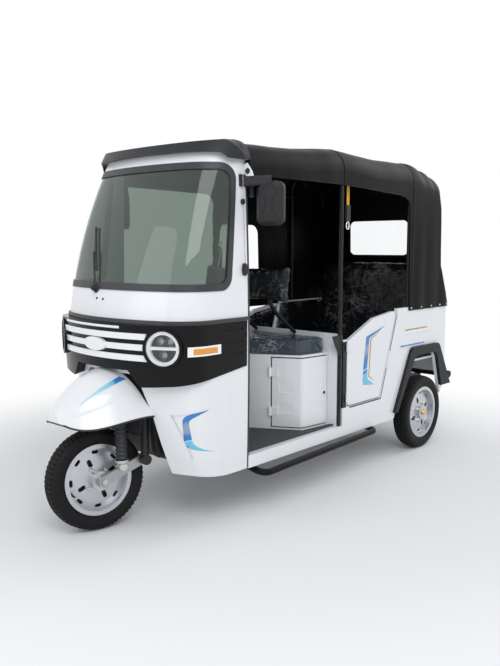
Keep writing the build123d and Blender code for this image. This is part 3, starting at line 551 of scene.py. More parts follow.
mat_rubber, tree, output = new_material("speckled_mat")
shader = add(tree, "BsdfPrincipled", [("Specular IOR Level", 0.3)])
texture = grained(tree, MAT_COLOUR, rough=0.75, scale=220.0, spread=0.25, gloss_spread=0.1)
place = add(tree, "TexCoord").outputs["Object"]
flecks = add(tree, "TexVoronoi", [("Vector", place), ("Scale", 190.0)]).outputs["Distance"]
light = add(tree, "MapRange", [("Value", flecks), ("From Min", 0.20), ("From Max", 0.12), ("To Max", 0.5)])
speckled = mix_colour(tree, light.outputs[0], texture["Colour"], FLECK_COLOUR)
surface(tree, output, shader, speckled, texture["Roughness"], texture["Height"], 0.5, 0.001)
mat_outline = MAT_BEHIND + [(x, -y) for x, y in reversed(MAT_BEHIND)] + MAT_NOSE
mat_foot = Matrix.Translation((0, 0, FLOOR_TOP + 0.0003))
plate("floor_mat", mat_outline, mat_foot, MAT_T, mat_rubber, "dark_plastic", 0.002)

# Cowl and mudguard: moulded shells in gloss white paint, with printed vinyl stripes laid on them. The
# mudguard is bolted under the nose, and a rubber bead is pushed on to its lower edge.
dress(white_paint, "front_cowl", "front_mudguard")
SIDES = ((1, "left"), (-1, "right"))
STRIPE_LIFT = 0.0004
STRIPE_STEPS = 6
CORNER_AXIS = (0.93, 0.30)      # x and distance from the middle of the axis inside each cab corner
CORD_SIDES = 8
BLUE = (0.035, 0.23, 0.62)
CYAN = (0.16, 0.60, 0.86)
SLATE = (0.30, 0.38, 0.53)
OCHRE = (0.48, 0.25, 0.06)
PALE = (0.52, 0.72, 0.90)


def smooth_line(points, steps):
    """Points along a smooth curve through the given ones."""
    points = [Vector(p) for p in points]
    padded = [2 * points[0] - points[1]] + points + [2 * points[-1] - points[-2]]
    line = []
    for before, first, second, after in zip(padded, padded[1:], padded[2:], padded[3:]):
        for step in range(steps):
            t = step / steps
            bend = 2 * before - 5 * first + 4 * second - after
            twist = 3 * first - before - 3 * second + after
            line.append(0.5 * (2 * first + (second - before) * t + bend * t * t + twist * t ** 3))
    return line + [points[-1]]


def straight_line(points, steps):
    """Points along straight runs between the given ones."""
    points = [Vector(p) for p in points]
    line = [first.lerp(second, i / steps) for first, second in zip(points, points[1:]) for i in range(steps)]
    return line + [points[-1]]


def thicken(piece, thickness):
    """Give a sheet its thickness, half to each side."""
    sheet = piece.modifiers.new("thickness", "SOLIDIFY")
    sheet.thickness = thickness
    sheet.offset = 0
    return sheet


def stripe(name, outer, inner, cast, skin, material, body="body", across=4, line=straight_line):
    """Thin vinyl strip between two edges; each point is cast onto a surface and lifted off it a hair."""
    rows = list(zip(line(outer, STRIPE_STEPS), line(inner, STRIPE_STEPS)))
    verts = []
    for edge, other in rows:
        for column in range(across + 1):
            start, way = cast(edge.lerp(other, column / across))
            verts.append(skin.ray_cast(start, way)[0] - way * STRIPE_LIFT)
    piece = make_piece(name, verts, grid_faces(len(rows), across + 1), material, body)
    thicken(piece, STRIPE_LIFT * 0.8)
    return piece


def from_side(side):
    """Cast straight in from the left or right at an (x, z)."""
    return lambda spot: (Vector((spot[0], side * 0.8, spot[1])), Vector((0, -side, 0)))


def from_corner(side):
    """Cast in towards an upright axis inside the cab's corner at a (degrees from the side, z)."""
    def cast(spot):
        out = Vector((math.sin(math.radians(spot[0])), side * math.cos(math.radians(spot[0])), 0))
        return Vector((CORNER_AXIS[0], side * CORNER_AXIS[1], spot[1])) + out * 0.6, -out
    return cast


def from_above(side):
    """Cast straight down at an (x, distance from the middle)."""
    return lambda spot: (Vector((spot[0], side * spot[1], 1.4)), Vector((0, 0, -1)))


# Rise: how far up a printed band a spot lies, by its height plus a share of its x.
band_rise, taken, given = new_group(
    "band_rise",
    [("Slope", "Float", 0.0), ("Low", "Float", 0.0), ("High", "Float", 1.0)],
    [("Share", "Float")])
place = add(band_rise, "TexCoord").outputs["Object"]
place = add(band_rise, "SeparateXYZ", [(0, place)]).outputs
height = combine(band_rise, "ADD", place["Z"], combine(band_rise, "MULTIPLY", place["X"], taken["Slope"]))
ends = [("From Min", taken["Low"]), ("From Max", taken["High"])]
feed(band_rise, given["Share"], add(band_rise, "MapRange", [("Value", height), *ends]).outputs[0])


def banded_vinyl(name, slope, low, high, stops):
    """Vinyl whose colour runs up a band; stops are (share of the way up, colour)."""
    material, tree, output = new_material(name)
    shader = add(tree, "BsdfPrincipled", [("Coat Weight", 0.2)])
    share = use_group(tree, band_rise, [("Slope", slope), ("Low", low), ("High", high)])["Share"]
    ramp = add(tree, "ValToRGB", [(0, share)])
    while len(ramp.color_ramp.elements) < len(stops):
        ramp.color_ramp.elements.new(0.5)
    for element, (position, colour) in zip(ramp.color_ramp.elements, stops):
        element.position = position
        element.color = (*colour, 1)
    surface(tree, output, shader, ramp.outputs[0], 0.3)
    return material


vinyl_blue = finish("vinyl_blue", BLUE, 0.3, coat=0.2, spread=0.05)
vinyl_ochre = finish("vinyl_ochre", OCHRE, 0.3, coat=0.2, spread=0.05)
HOOK_BANDS = [(0.0, CYAN), (0.26, CYAN), (0.27, PALE), (0.295, PALE), (0.305, BLUE), (0.44, BLUE),
              (0.54, SLATE), (0.76, SLATE), (0.88, BLUE), (1.0, BLUE)]
GUARD_BANDS = [(0.0, BLUE), (0.25, BLUE), (0.32, CYAN), (1.0, PALE)]
hook_vinyl = banded_vinyl("cowl_hook_vinyl", 0.6, 0.975, 1.165, HOOK_BANDS)
guard_vinyl = banded_vinyl("guard_fading_vinyl", 12.0, 14.6, 16.4, GUARD_BANDS)

guard_skin = seat_tree("front_mudguard")
cowl_skin = seat_tree("front_cowl")
GUARD_OUTER = [(1.140, 0.133), (1.215, 0.131), (1.290, 0.116), (1.366, 0.091)]
GUARD_INNER = [(1.160, 0.110), (1.215, 0.112), (1.290, 0.106), (1.366, 0.089)]
HOOK_OUTER = [(1, 0.590), (35, 0.567), (47, 0.540), (46, 0.490), (44.5, 0.444), (37, 0.412), (19, 0.397),
              (-16, 0.385)]
HOOK_INNER = [(1, 0.588), (26, 0.552), (33, 0.532), (29.5, 0.486), (24.5, 0.444), (19.5, 0.424), (4.5, 0.402),
              (-16, 0.384)]
EDGE_BEAD = 0.0045
EDGE_STATIONS = [1.004 + 0.018 * i for i in range(25)]
FEELER_OUT = 0.262      # where the search for the mudguard's edge begins, from the middle
FEELER_STEP = 0.002


def guard_edge(x, side):
    """Lowest outer point of the mudguard at one station, felt from below and outside."""
    for step in range(130):
        start = Vector((x, side * (FEELER_OUT - FEELER_STEP * step), 0.2))
        hit = guard_skin.ray_cast(start, Vector((0, 0, 1)))[0]
        if hit:
            return hit


for side, mark in SIDES:
    stripe("guard_stripe_" + mark, GUARD_OUTER, GUARD_INNER, from_above(side), guard_skin, guard_vinyl,
           line=smooth_line)
    stripe("cowl_stripe_" + mark, HOOK_OUTER, HOOK_INNER, from_corner(side), cowl_skin, hook_vinyl,
           line=smooth_line)


def cord_mesh(name, points, radius, material, slot):
    """Round bead or bar on the body, along points that are already close together."""
    points = [Vector(p) for p in points]
    verts = []
    side_way = None
    for i, point in enumerate(points):
        along = (points[min(i + 1, len(points) - 1)] - points[max(i - 1, 0)]).normalized()
        if side_way is None:
            side_way = along.orthogonal().normalized()
        side_way = (side_way - along * side_way.dot(along)).normalized()
        up_way = along.cross(side_way)
        for step in range(CORD_SIDES):
            turn = 2 * math.pi * step / CORD_SIDES
            verts.append(point + (side_way * math.cos(turn) + up_way * math.sin(turn)) * radius)
    faces = grid_faces(len(points), CORD_SIDES, wrap_columns=True)
    faces += [tuple(range(CORD_SIDES)), tuple(range(len(verts) - CORD_SIDES, len(verts)))]
    return make_piece(name, verts, faces, material, "body", slot, 50)


edge_line = [guard_edge(x, 1) for x in EDGE_STATIONS] + [guard_edge(x, -1) for x in reversed(EDGE_STATIONS)]
cord_mesh("guard_edge_bead", [spot for spot in edge_line if spot], EDGE_BEAD, soft_rubber, "rubber_seal")

# Nose band: a gloss black moulding with a white light strip along its top, bright white bars and a blank
# oval, round lamps with smoked reflectors and a white ring, and amber signals in chromed frames.
gloss_black = finish("gloss_black_moulding", (0.006, 0.006, 0.007), 0.08, scale=900, spread=0.1, bump=0.02,
                     Specular_IOR_Level=0.16)
chrome = finish("chromed_plastic", (0.90, 0.91, 0.93), 0.06, 1.0, scale=900, spread=0.03, bump=0.02,
                gloss_spread=0.04)
lamp_white = finish("lamp_white_guide", (0.88, 0.90, 0.92), 0.25, coat=0.3, spread=0.02,
                    Emission_Color=WHITE, Emission_Strength=0.15)
amber = finish("amber_lens", (0.85, 0.33, 0.03), 0.12, coat=0.5, scale=500, spread=0.1, bump=0.15)
bar_white = finish("bright_white_bars", (0.90, 0.91, 0.92), 0.16, coat=0.5, spread=0.02, bump=0.02)
smoked_metal = finish("smoked_reflector", (0.20, 0.21, 0.23), 0.18, metallic=1.0, spread=0.05, bump=0.02)
dress(gloss_black, "nose_band", "headlamp_cups")
dress(bar_white, "grille_bars")
dress(chrome, "turn_signals")
dress(lamp_white, "headlamp_rings")


def glass(name, tint, rough=0.0, ior=1.45, clear=1.0):
    """Clear or tinted sheet, with cloudy gloss from handling."""
    material, tree, output = new_material(name)
    shader = add(tree, "BsdfPrincipled", [("Transmission Weight", clear), ("IOR", ior)])
    texture = grained(tree, tint, rough, scale=40.0, spread=0.03, gloss_spread=0.02)
    surface(tree, output, shader, texture["Colour"], texture["Roughness"])
    return material


clear_lens = glass("clear_lamp_lens", (0.97, 0.98, 0.99), 0.01)
dress(clear_lens, "headlamp_lenses")
LAMP_AT = (1.120, 0.373, 0.882)
LAMP_TOE = math.radians(30)
EYES = [(0.030, -0.014), (0.030, 0.028), (-0.032, 0.0)]     # up and across from the lamp's centre
BOWL = [(0, -0.0215), (0.013, -0.0215), (0.017, -0.016), (0.020, -0.009), (0.021, -0.009), (0.021, -0.0215)]
PROJECTOR = [(0, -0.010), (0.005, -0.0105), (0.0085, -0.0125), (0.010, -0.016), (0.010, -0.0205),
             (0, -0.0205)]
bowls, eyes = [], []
for side in (1, -1):
    way = Vector((math.cos(LAMP_TOE), side * math.sin(LAMP_TOE), 0))
    across_way = Vector((-way.y, way.x, 0))
    for up_shift, over in EYES:
        centre = Vector((LAMP_AT[0], side * LAMP_AT[1], LAMP_AT[2] + up_shift)) + across_way * over
        bowls.append(lathe(BOWL, facing(centre, way), 32))
        eyes.append(lathe(PROJECTOR, facing(centre, way), 32))
make_piece("lamp_reflectors", *joined(*bowls), smoked_metal, "body", "chrome_trim")
make_piece("lamp_projectors", *joined(*eyes), clear_lens, "body", "lamp_clear", 60)


def from_front(spot):
    """Cast straight back at a (y, z)."""
    return Vector((1.6, spot[0], spot[1])), Vector((-1, 0, 0))


STRIP_PLACES = [-0.300 + 0.023 * i for i in range(21)]
STRIP = ([(y, 0.9745) for y in STRIP_PLACES], [(y, 0.9625) for y in STRIP_PLACES])
strip = stripe("band_light_strip", *STRIP, from_front, seat_tree("nose_band"), bar_white, across=3)
signal_skin = seat_tree("turn_signals")
LENS_PLACES = (0.905, 0.985, 1.035)
LENS = ([(x, 0.881) for x in LENS_PLACES], [(x, 0.855) for x in LENS_PLACES])
for side, mark in SIDES:
    lens = stripe("signal_lens_" + mark, *LENS, from_side(side), signal_skin, amber, across=5)
    lens.modifiers["thickness"].thickness = 0.004
    lens.modifiers["thickness"].offset = 1

# Windscreen: a wrap-round glass in a thick rubber seal, set in the white surround; a rubber strip runs along
# the belt seam, a wiper stands on the cowl, and two washer jets sit below it.
seal_rubber = finish("seal_rubber", (0.028, 0.030, 0.036), 0.42, scale=300, spread=0.15, bump=0.1)
screen_glass = glass("tinted_screen_glass", (0.19, 0.25, 0.215), clear=0.84)
dress(white_paint, "windscreen_surround")
dress(seal_rubber, "windscreen_seal", "belt_trim")
dress(screen_glass, "windscreen_glass")
glass_skin = seat_tree("windscreen_glass", "windscreen_seal", "windscreen_surround")
WIPER_PIVOT = (-0.090, 1.132)
WIPER_KNEE = (-0.150, 1.300)
WIPER_BLADE = ((-0.205, 1.420), (-0.110, 1.215))
PIVOT_CAP = [(0, 0.026), (0.010, 0.025), (0.014, 0.020), (0.016, 0.006), (0.022, 0.0), (0, -0.004)]
JETS_AT = [(-0.076, 1.086), (-0.025, 1.084)]
JET = [(0, 0.005), (0.003, 0.0048), (0.0052, 0.003), (0.006, 0.0), (0, -0.002)]


def on_screen(spot, lift):
    """Point in front of the screen at a (y, z)."""
    hit, normal, _, _ = glass_skin.ray_cast(*from_front(spot))
    return hit + normal * lift


arm_line = straight_line([WIPER_PIVOT, WIPER_KNEE], 8)
arm_points = [on_screen(spot, 0.012 + 0.010 * i / 8) for i, spot in enumerate(arm_line)]
cord_mesh("wiper_arm", arm_points, 0.0045, soft_rubber, "dark_plastic")
blade_points = [on_screen(spot, 0.010) for spot in straight_line(WIPER_BLADE, 14)]
cord_mesh("wiper_blade", blade_points, 0.0065, soft_rubber, "rubber_seal")
pivot = facing(on_screen(WIPER_PIVOT, 0.0), (1, 0, 0.25))
make_piece("wiper_pivot", *lathe(PIVOT_CAP, pivot, 24), dark_plastic, "body", "dark_plastic")
jets = [lathe(JET, facing(on_screen(spot, 0.0), (1, 0, 0.2)), 16) for spot in JETS_AT]
make_piece("washer_jets", *joined(*jets), dark_plastic, "body", "dark_plastic")

# Peak and cab edges: a moulded dark visor over the screen, and a rubber channel pushed on to the rear edge
# of the cab panels down both sides.
visor_plastic = finish("visor_plastic", (0.026, 0.028, 0.032), 0.34, scale=900, spread=0.15, bump=0.18,
                       Specular_IOR_Level=0.2)
dress(visor_plastic, "roof_peak")
CAB_EDGE_X = 0.6725
CAB_EDGE_ENDS = (0.262, 1.690)
CAB_EDGE_OUT = 0.480
cab_side = seat_tree("front_cowl", "windscreen_surround", "nose_band")
low, high = CAB_EDGE_ENDS
for side, mark in SIDES:
    line = []
    for z in [low + (high - low) * i / 70 for i in range(71)]:
        hit = cab_side.ray_cast(*from_side(side)((CAB_EDGE_X + 0.0035, z)))[0]
        line.append((CAB_EDGE_X, side * min(abs(hit.y), CAB_EDGE_OUT) - side * 0.004, z))
    cord_mesh("cab_edge_" + mark, line, 0.0075, seal_rubber, "rubber_seal")

# Mirrors and aerial: each mirror hangs in a ridged black shell from a square sleeve on a white bracket; a
# thin steel aerial stands on the left pillar in two clips.
mirror_face = finish("mirror_silver", (0.86, 0.87, 0.88), 0.03, 1.0, spread=0.02, bump=0.0)
dress(dark_plastic, "mirrors")
dress(mirror_face, "mirror_glasses")
MIRROR_AT = Vector((0.606, 0.553, 1.530))
MIRROR_YAW = math.radians(22)
RIDGE = [(-0.022, 0.076), (-0.040, 0.046), (-0.016, 0.020), (-0.016, -0.024), (-0.038, -0.052),
         (-0.022, -0.076)]
RIDGE_OUT = 0.0265
BRACKET_AT = (0.681, 0.450, 1.652)
BRACKET = [(0, 0), (0.068, 0), (0.060, 0.022), (0.030, 0.062), (0.006, 0.056)]
BOLT_AT = (0.687, 0.484, 1.676)
BOLT = [(0, 0.012), (0.008, 0.012), (0.009, 0.001), (0.015, 0.001), (0.015, 0), (0, 0)]
for side, mark in SIDES:
    flip = Matrix.Diagonal((1, side, 1, 1))
    back = flip @ Matrix.Translation(MIRROR_AT) @ Matrix.Rotation(MIRROR_YAW, 4, "Z")
    for label, way in (("in", 1), ("out", -1)):
        ridge = straight_line([back @ Vector((RIDGE_OUT, way * y, z)) for y, z in RIDGE], 5)
        cord_mesh(f"mirror_ridge_{mark}_{label}", ridge, 0.0026, dark_plastic, "dark_plastic")
    bracket_foot = flip @ facing_front(*BRACKET_AT)
    plate("mirror_bracket_" + mark, BRACKET, bracket_foot, 0.006, white_paint, "white_paint", 0.002)
    bolt = lathe(BOLT, flip @ facing(BOLT_AT, (1, 0, 0)), 6)
    make_piece("mirror_bolt_" + mark, *bolt, soft_rubber, "body", "steel")
AERIAL_X = 0.706
AERIAL_ENDS = (1.219, 1.66)
AERIAL_OUT = 0.013
AERIAL_CLIPS = [    # name, height, half width, half height, depth
    ("foot", 1.223, 0.012, 0.030, 0.018),
    ("clip", 1.536, 0.010, 0.014, 0.016),
]
aerial_steel = finish("aerial_steel", (0.55, 0.56, 0.57), 0.25, 1.0, spread=0.1)
pillar = seat_tree("windscreen_surround", "roof_peak")


def on_pillar(z, lift):
    """Point beside the left pillar at a height."""
    hit = pillar.ray_cast(*from_side(1)((AERIAL_X, z)))[0]
    return Vector((AERIAL_X, hit.y + lift, z))


rod = straight_line([on_pillar(z, AERIAL_OUT) for z in AERIAL_ENDS], 12)
cord_mesh("aerial_rod", rod, 0.0016, aerial_steel, "steel")
for label, z, wide, tall, depth in AERIAL_CLIPS:
    turns = [step * math.pi / 8 for step in range(16)]
    outline = [(wide * math.cos(turn), tall * math.sin(turn)) for turn in turns]
    where = Matrix.Translation(on_pillar(z, 0.0)) @ Matrix.Rotation(math.radians(-90), 4, "X")
    plate("aerial_" + label, outline, where, depth, dark_plastic, "dark_plastic", 0.004)

# Rear body: pressed white side and tail panels with black flares bolted round the wheels, black hinge posts,
# and half doors on two hinges with a latch. Rubber edges the door openings, vinyl stripes run outside, and
# the doors and inner sides are trimmed in black vinyl that is still in its clear wrapper.
flare_plastic = finish("flare_plastic", (0.022, 0.023, 0.026), 0.5, scale=1000, spread=0.15, bump=0.35,
                       Specular_IOR_Level=0.2)
dress(white_paint, "rear_tub", "left_door", "right_door")
dress(frame_black, "post_plates", "canopy_hoops", "backrest_posts")
dress(flare_plastic, "arch_flares")
SEALS = [   # above and below the latch plate: outer line, inner line
    ("upper", [(-0.7002, 0.9173), (-0.6232, 0.695)], [(-0.6926, 0.9199), (-0.6147, 0.695)]),
    ("lower", [(-0.5886, 0.595), (-0.5248, 0.4105), (-0.190, 0.4105)],
     [(-0.5801, 0.595), (-0.5191, 0.4185), (-0.190, 0.4185)]),
]
CARD = ([(-0.185, 0.785), (-0.432, 0.888), (-0.655, 0.918)],
        [(-0.185, 0.450), (-0.400, 0.450), (-0.500, 0.450)])
LINING = ([(-0.700, 0.940), (-1.200, 0.940)], [(-0.640, 0.720), (-1.200, 0.720)])
DOOR_BAND = (
    [(-0.551, 0.856), (-0.360, 0.806), (-0.334, 0.634), (-0.330, 0.540), (-0.338, 0.522), (-0.455, 0.511)],
    [(-0.551, 0.854), (-0.392, 0.794), (-0.373, 0.618), (-0.377, 0.560), (-0.389, 0.546), (-0.455, 0.510)])
DOOR_COLOURS = [
    (0.0, CYAN), (0.24, CYAN), (0.25, BLUE), (0.30, BLUE), (0.31, PALE), (0.33, PALE), (0.34, BLUE),
    (0.52, BLUE), (0.66, SLATE), (0.76, SLATE), (0.82, BLUE), (1.0, BLUE)]
DOOR_LINE = ([(-0.525, 0.842), (-0.402, 0.788), (-0.388, 0.566), (-0.456, 0.530)],
             [(-0.525, 0.840), (-0.412, 0.784), (-0.397, 0.570), (-0.456, 0.527)])
QUARTER = [  # name, front x, rear x, height, half width, colour
    ("ochre", -0.800, -1.083, 0.806, 0.0042, vinyl_ochre),
    ("blue", -0.745, -1.048, 0.708, 0.0048, vinyl_blue),
]

# Folds: creases of a clear wrapper, where two stretched clouds pass their middle, with painted glints on some:
# a highlight mask that lightens the colour.
folds_and_painted_glints, taken, given = new_group(
    "wrapper_folds_and_painted_glints", [("Glint Width", "Float", 0.022)], [("Glint", "Float"), ("Height", "Float")])
place = add(folds_and_painted_glints, "TexCoord").outputs["Object"]
creases = []
for scale, stretch in ((5.0, (1.0, 0.45, 1.6)), (8.0, (0.5, 1.3, 0.8))):
    pulled = add(folds_and_painted_glints, "VectorMath", [(0, place), (1, stretch)], operation="MULTIPLY").outputs[0]
    cloud = add(folds_and_painted_glints, "TexNoise",
                [("Vector", pulled), ("Scale", scale), ("Detail", 3.0), ("Distortion", 1.4)]).outputs[0]
    creases.append(combine(folds_and_painted_glints, "ABSOLUTE", combine(folds_and_painted_glints, "SUBTRACT", cloud, 0.5), 0.0))
line = combine(folds_and_painted_glints, "MINIMUM", *creases)
# Glint: a painted highlight along the thinnest crease lines, kept to some patches.
glint = add(folds_and_painted_glints, "MapRange", [("Value", line), ("From Min", taken["Glint Width"]), ("From Max", 0.0)])
patch = add(folds_and_painted_glints, "TexNoise", [("Vector", place), ("Scale", 4.0), ("Detail", 1.0)]).outputs[0]
lit = add(folds_and_painted_glints, "MapRange", [("Value", patch), ("From Min", 0.52), ("From Max", 0.68)])
feed(folds_and_painted_glints, given["Glint"], combine(folds_and_painted_glints, "MULTIPLY", glint.outputs[0], lit.outputs[0]))
feed(folds_and_painted_glints, given["Height"], combine(folds_and_painted_glints, "ADD", *creases))


def film_wrapped(name, colour, painted_glint_colour):
    """Vinyl under a clear plastic wrapper: dark, with pale painted glints, highlights mixed into its colour
    along the wrapper's folds.
    """
    material, tree, output = new_material(name)
    shader = add(tree, "BsdfPrincipled", [("Specular IOR Level", 0.22), ("IOR", 1.5)])
    texture = grained(tree, colour, rough=0.14, scale=120.0, spread=0.4, gloss_spread=0.12)
    wrapper = use_group(tree, folds_and_painted_glints, [])
    colour_with_painted_glints = mix_colour(tree, wrapper["Glint"], texture["Colour"], (*painted_glint_colour, 1))
    surface(tree, output, shader, colour_with_painted_glints, texture["Roughness"], wrapper["Height"], 0.4, 0.02)
    return material


def from_inside(side):
    """Cast outward from the middle of the cabin at an (x, z)."""
    return lambda spot: (Vector((spot[0], 0, spot[1])), Vector((0, side, 0)))


# The second colour of each film is its painted glint, a highlight mixed into the base colour.
black_film = film_wrapped("film_over_black_vinyl", (0.010, 0.011, 0.013), (0.15, 0.16, 0.17))
blue_film = film_wrapped("film_over_blue_vinyl", (0.055, 0.072, 0.092), (0.26, 0.29, 0.32))
door_vinyl = banded_vinyl("door_band_vinyl", 0.35, 0.394, 0.690, DOOR_COLOURS)
tub_skin = seat_tree("rear_tub")
for side, mark in SIDES:
    door = mark + "_door"
    door_skin = seat_tree(door)
    stripe("door_band_" + mark, *DOOR_BAND, from_side(side), door_skin, door_vinyl, door)
    stripe("door_line_" + mark, *DOOR_LINE, from_side(side), door_skin, vinyl_ochre, door)
    for part, outer, inner in SEALS:
        stripe(f"door_seal_{part}_{mark}", outer, inner, from_side(side), tub_skin, seal_rubber)
    stripe("door_card_" + mark, *CARD, from_inside(side), door_skin, black_film, door, 12)
    stripe("tub_lining_" + mark, *LINING, from_inside(side), tub_skin, black_film, across=12)
    for part, front_x, rear_x, z, half, vinyl in QUARTER:
        outer = [(front_x, z + half), (rear_x, z + half)]
        inner = [(front_x, z - half), (rear_x, z - half)]
        stripe(f"quarter_stripe_{part}_{mark}", outer, inner, from_side(side), tub_skin, vinyl)

# Steps, bumper and tail lamps: bent gloss black tubes bolted along both sills and across the tail, and
# moulded red lenses screwed to the tail panel.
red_lens = finish("red_tail_lens", (0.45, 0.015, 0.015), 0.12, coat=0.5, scale=300, bump=0.2)
gloss_tube = finish("gloss_tube_paint", (0.006, 0.006, 0.007), 0.36, scale=700, spread=0.2,
                    Specular_IOR_Level=0.12)
dress(gloss_tube, "side_steps", "rear_bumper")
dress(red_lens, "tail_lamps")

# Canvas top: one sheet of coated black canvas, pulled over three hoops, with a short valance on the left and
# longer sides at the rear. Seams are sewn, the hem is held by press studs, and a tongue lies on the peak.
HALF_W = 0.4828
HEM_Z = 0.931
ROOF_RISE = 0.024
ROOF = [    # x, crown height, shoulder radius
    (0.669, 1.8365, 0.115),
    (-0.100, 1.8835, 0.120),
    (-0.890, 1.8665, 0.120),
    (-1.035, 1.8345, 0.120),
    (-1.130, 1.8135, 0.115),
    (-1.195, 1.7835, 0.100),
    (-1.2235, 1.6985, 0.095),
    (-1.2395, 1.2605, 0.038),
    (-1.3505, 0.9935, 0.024),
]
LEFT_EDGE = [(0.669, 1.662), (-0.100, 1.664), (-0.450, 1.651), (-0.690, 1.640), (-0.760, 1.628),
             (-0.797, 1.608), (-0.815, 1.570), (-0.820, 1.450), (-0.832, 0.931)]
RIGHT_EDGE = [(0.669, 1.662), (0.000, 1.657), (-0.045, 1.640), (-0.064, 1.600), (-0.068, 1.500),
              (-0.070, 0.931)]
HOOP_BAYS = [(0.640, -0.100), (-0.100, -0.835)]     # front and rear end of each sagging bay
GATHERS = [(-0.860, -1.010, 0.014), (-1.010, -1.125, 0.017), (-1.125, -1.215, 0.014)]   # front, rear, height
CANVAS_COLOUR = (0.0055, 0.006, 0.007)
CANVAS_T = 0.003
HOOP_SAG = 0.010
HOOP_SEAMS = [("hoop_seam_front", -0.100), ("hoop_seam_rear", -0.850)]
RIPPLE = 0.0022         # broad waves in the cloth
FINE_RIPPLE = 0.0016
SIDE_FOLD = 0.0016      # upright folds, growing down the hanging sides
SIDE_ROOM = 0.0015      # most that the sides may stand out
STATION_STEP = 0.022
SIDE_STEPS = 16
SHOULDER_STEPS = 7
ROOF_STEPS = 16


def along_table(table, x, column):
    """Value of a table's column at x, in straight runs between its rows."""
    for first, second in zip(table, table[1:]):
        if x >= second[0] or second is table[-1]:
            share = min(1, max(0, (first[0] - x) / (first[0] - second[0])))
            return first[column] + (second[column] - first[column]) * share


def lower_edge(table, x):
    """Height of the hem at x; behind the table's end the canvas hangs to the full depth."""
    return HEM_Z if x < table[-1][0] else along_table(table, x, 1)


def roof_section(x):
    """Points across the canvas at a station, from the left lower edge over the top to the right one."""
    crown = along_table(ROOF, x, 1)
    shoulder = along_table(ROOF, x, 2)
    for front, rear in HOOP_BAYS:
        if rear < x < front:
            crown -= HOOP_SAG * math.sin(math.pi * (front - x) / (front - rear)) ** 2
    for front, rear, height in GATHERS:
        if rear < x < front:
            crown += height * math.sin(math.pi * (front - x) / (front - rear))
    top = crown - ROOF_RISE
    flat = HALF_W - shoulder
    points = []
    for table, side in ((LEFT_EDGE, 1), (RIGHT_EDGE, -1)):
        bend = top - shoulder
        low = min(lower_edge(table, x), bend)
        half = [Vector((x, side * HALF_W, low + (bend - low) * i / SIDE_STEPS)) for i in range(SIDE_STEPS)]
        for i in range(SHOULDER_STEPS):
            turn = math.pi / 2 * i / SHOULDER_STEPS
            y = flat + shoulder * math.cos(turn)
            half.append(Vector((x, side * y, bend + shoulder * math.sin(turn))))
        for i in range(ROOF_STEPS):
            y = flat * (1 - i / ROOF_STEPS)
            half.append(Vector((x, side * y, crown - ROOF_RISE * (y / flat) ** 2)))
        points.append(half)
    return points[0] + [Vector((x, 0, crown))] + points[1][::-1]


def stations(breaks, longest):
    """x places through the breaks, with steps no longer than a length."""
    places = []
    for first, second in zip(breaks, breaks[1:]):
        drop = along_table(ROOF, first, 1) - along_table(ROOF, second, 1)
        steps = max(1, math.ceil(math.hypot(first - second, drop) / longest))
        places += [first + (second - first) * i / steps for i in range(steps)]
    return places + [breaks[-1]]


breaks = {row[0] for table in (ROOF, LEFT_EDGE, RIGHT_EDGE, GATHERS) for row in table}
breaks |= {rear for _, rear in HOOP_BAYS} | {x for _, x in HOOP_SEAMS}
rows = [roof_section(x) for x in stations(sorted(breaks, reverse=True), STATION_STEP)]
for row in rows:
    for point in row:
        stretched = Vector((point.x * 9, point.y * 3, point.z * 1.5))
        ripple = noise.noise(point * 4.0) * RIPPLE + noise.noise(stretched) * FINE_RIPPLE
        hang = min(1, max(0, (1.55 - point.z) / 0.4))
        fold = math.sin(point.x * 38 + 2 * noise.noise(point * 2)) * SIDE_FOLD * hang
        out = 1 if point.y > 0 else -1
        if abs(point.y) > HALF_W - 0.04:
            point.y += out * min(SIDE_ROOM, ripple + fold)
        else:
            point.z += ripple
columns = len(rows[0])
canvas, tree, output = new_material("coated_canvas")
shader = add(tree, "BsdfPrincipled", [("Specular IOR Level", 0.06)])
texture = grained(tree, CANVAS_COLOUR, rough=0.36, scale=30.0, spread=0.3, gloss_spread=0.25)
weave, taken, given = new_group("canvas_weave", [("Scale", "Float", 500.0)], [("Height", "Float")])
place = add(weave, "TexCoord").outputs["Object"]
threads = []
for axis in ("X", "Z"):
    bands = add(weave, "TexWave", [("Vector", place), ("Scale", taken["Scale"])], bands_direction=axis)
    threads.append(bands.outputs["Fac"])
feed(weave, given["Height"], combine(weave, "MAXIMUM", *threads))
threads = use_group(tree, weave, [("Scale", 640.0)])["Height"]
height = combine(tree, "ADD", threads, combine(tree, "MULTIPLY", texture["Height"], 2.0))
surface(tree, output, shader, texture["Colour"], texture["Roughness"], height, 0.25, 0.0004)

cover_points = [point for row in rows for point in row]
cover = make_piece("canvas_cover", cover_points, grid_faces(len(rows), columns), canvas, "body", "canvas", 60)


def cut_window(piece, outline, axis, low, high, radius):
    """Cut a rounded opening through a sheet; the outline's points are the two coordinates across the axis."""
    facing_side = Matrix(((1, 0, 0, 0), (0, 0, 1, low), (0, 1, 0, 0), (0, 0, 0, 1)))
    cutter = plate("cutter", outline, facing_front(low) if axis == "X" else facing_side, high - low, canvas)
    shape = bmesh.new()
    shape.from_mesh(cutter.data)
    edges = [e for e in shape.edges if abs((e.verts[0].co - e.verts[1].co)["XYZ".index(axis)]) > 0.05]
    bmesh.ops.bevel(shape, geom=edges, offset=radius, segments=8, profile=0.5, affect="EDGES")
    bmesh.ops.recalc_face_normals(shape, faces=shape.faces)
    shape.to_mesh(cutter.data)
    shape.free()
    cut = piece.modifiers.new("opening", "BOOLEAN")
    cut.object = cutter
    cut.solver = "EXACT"
    bpy.context.view_layer.objects.active = piece
    bpy.ops.object.modifier_apply(modifier=cut.name)
    bpy.data.objects.remove(cutter)


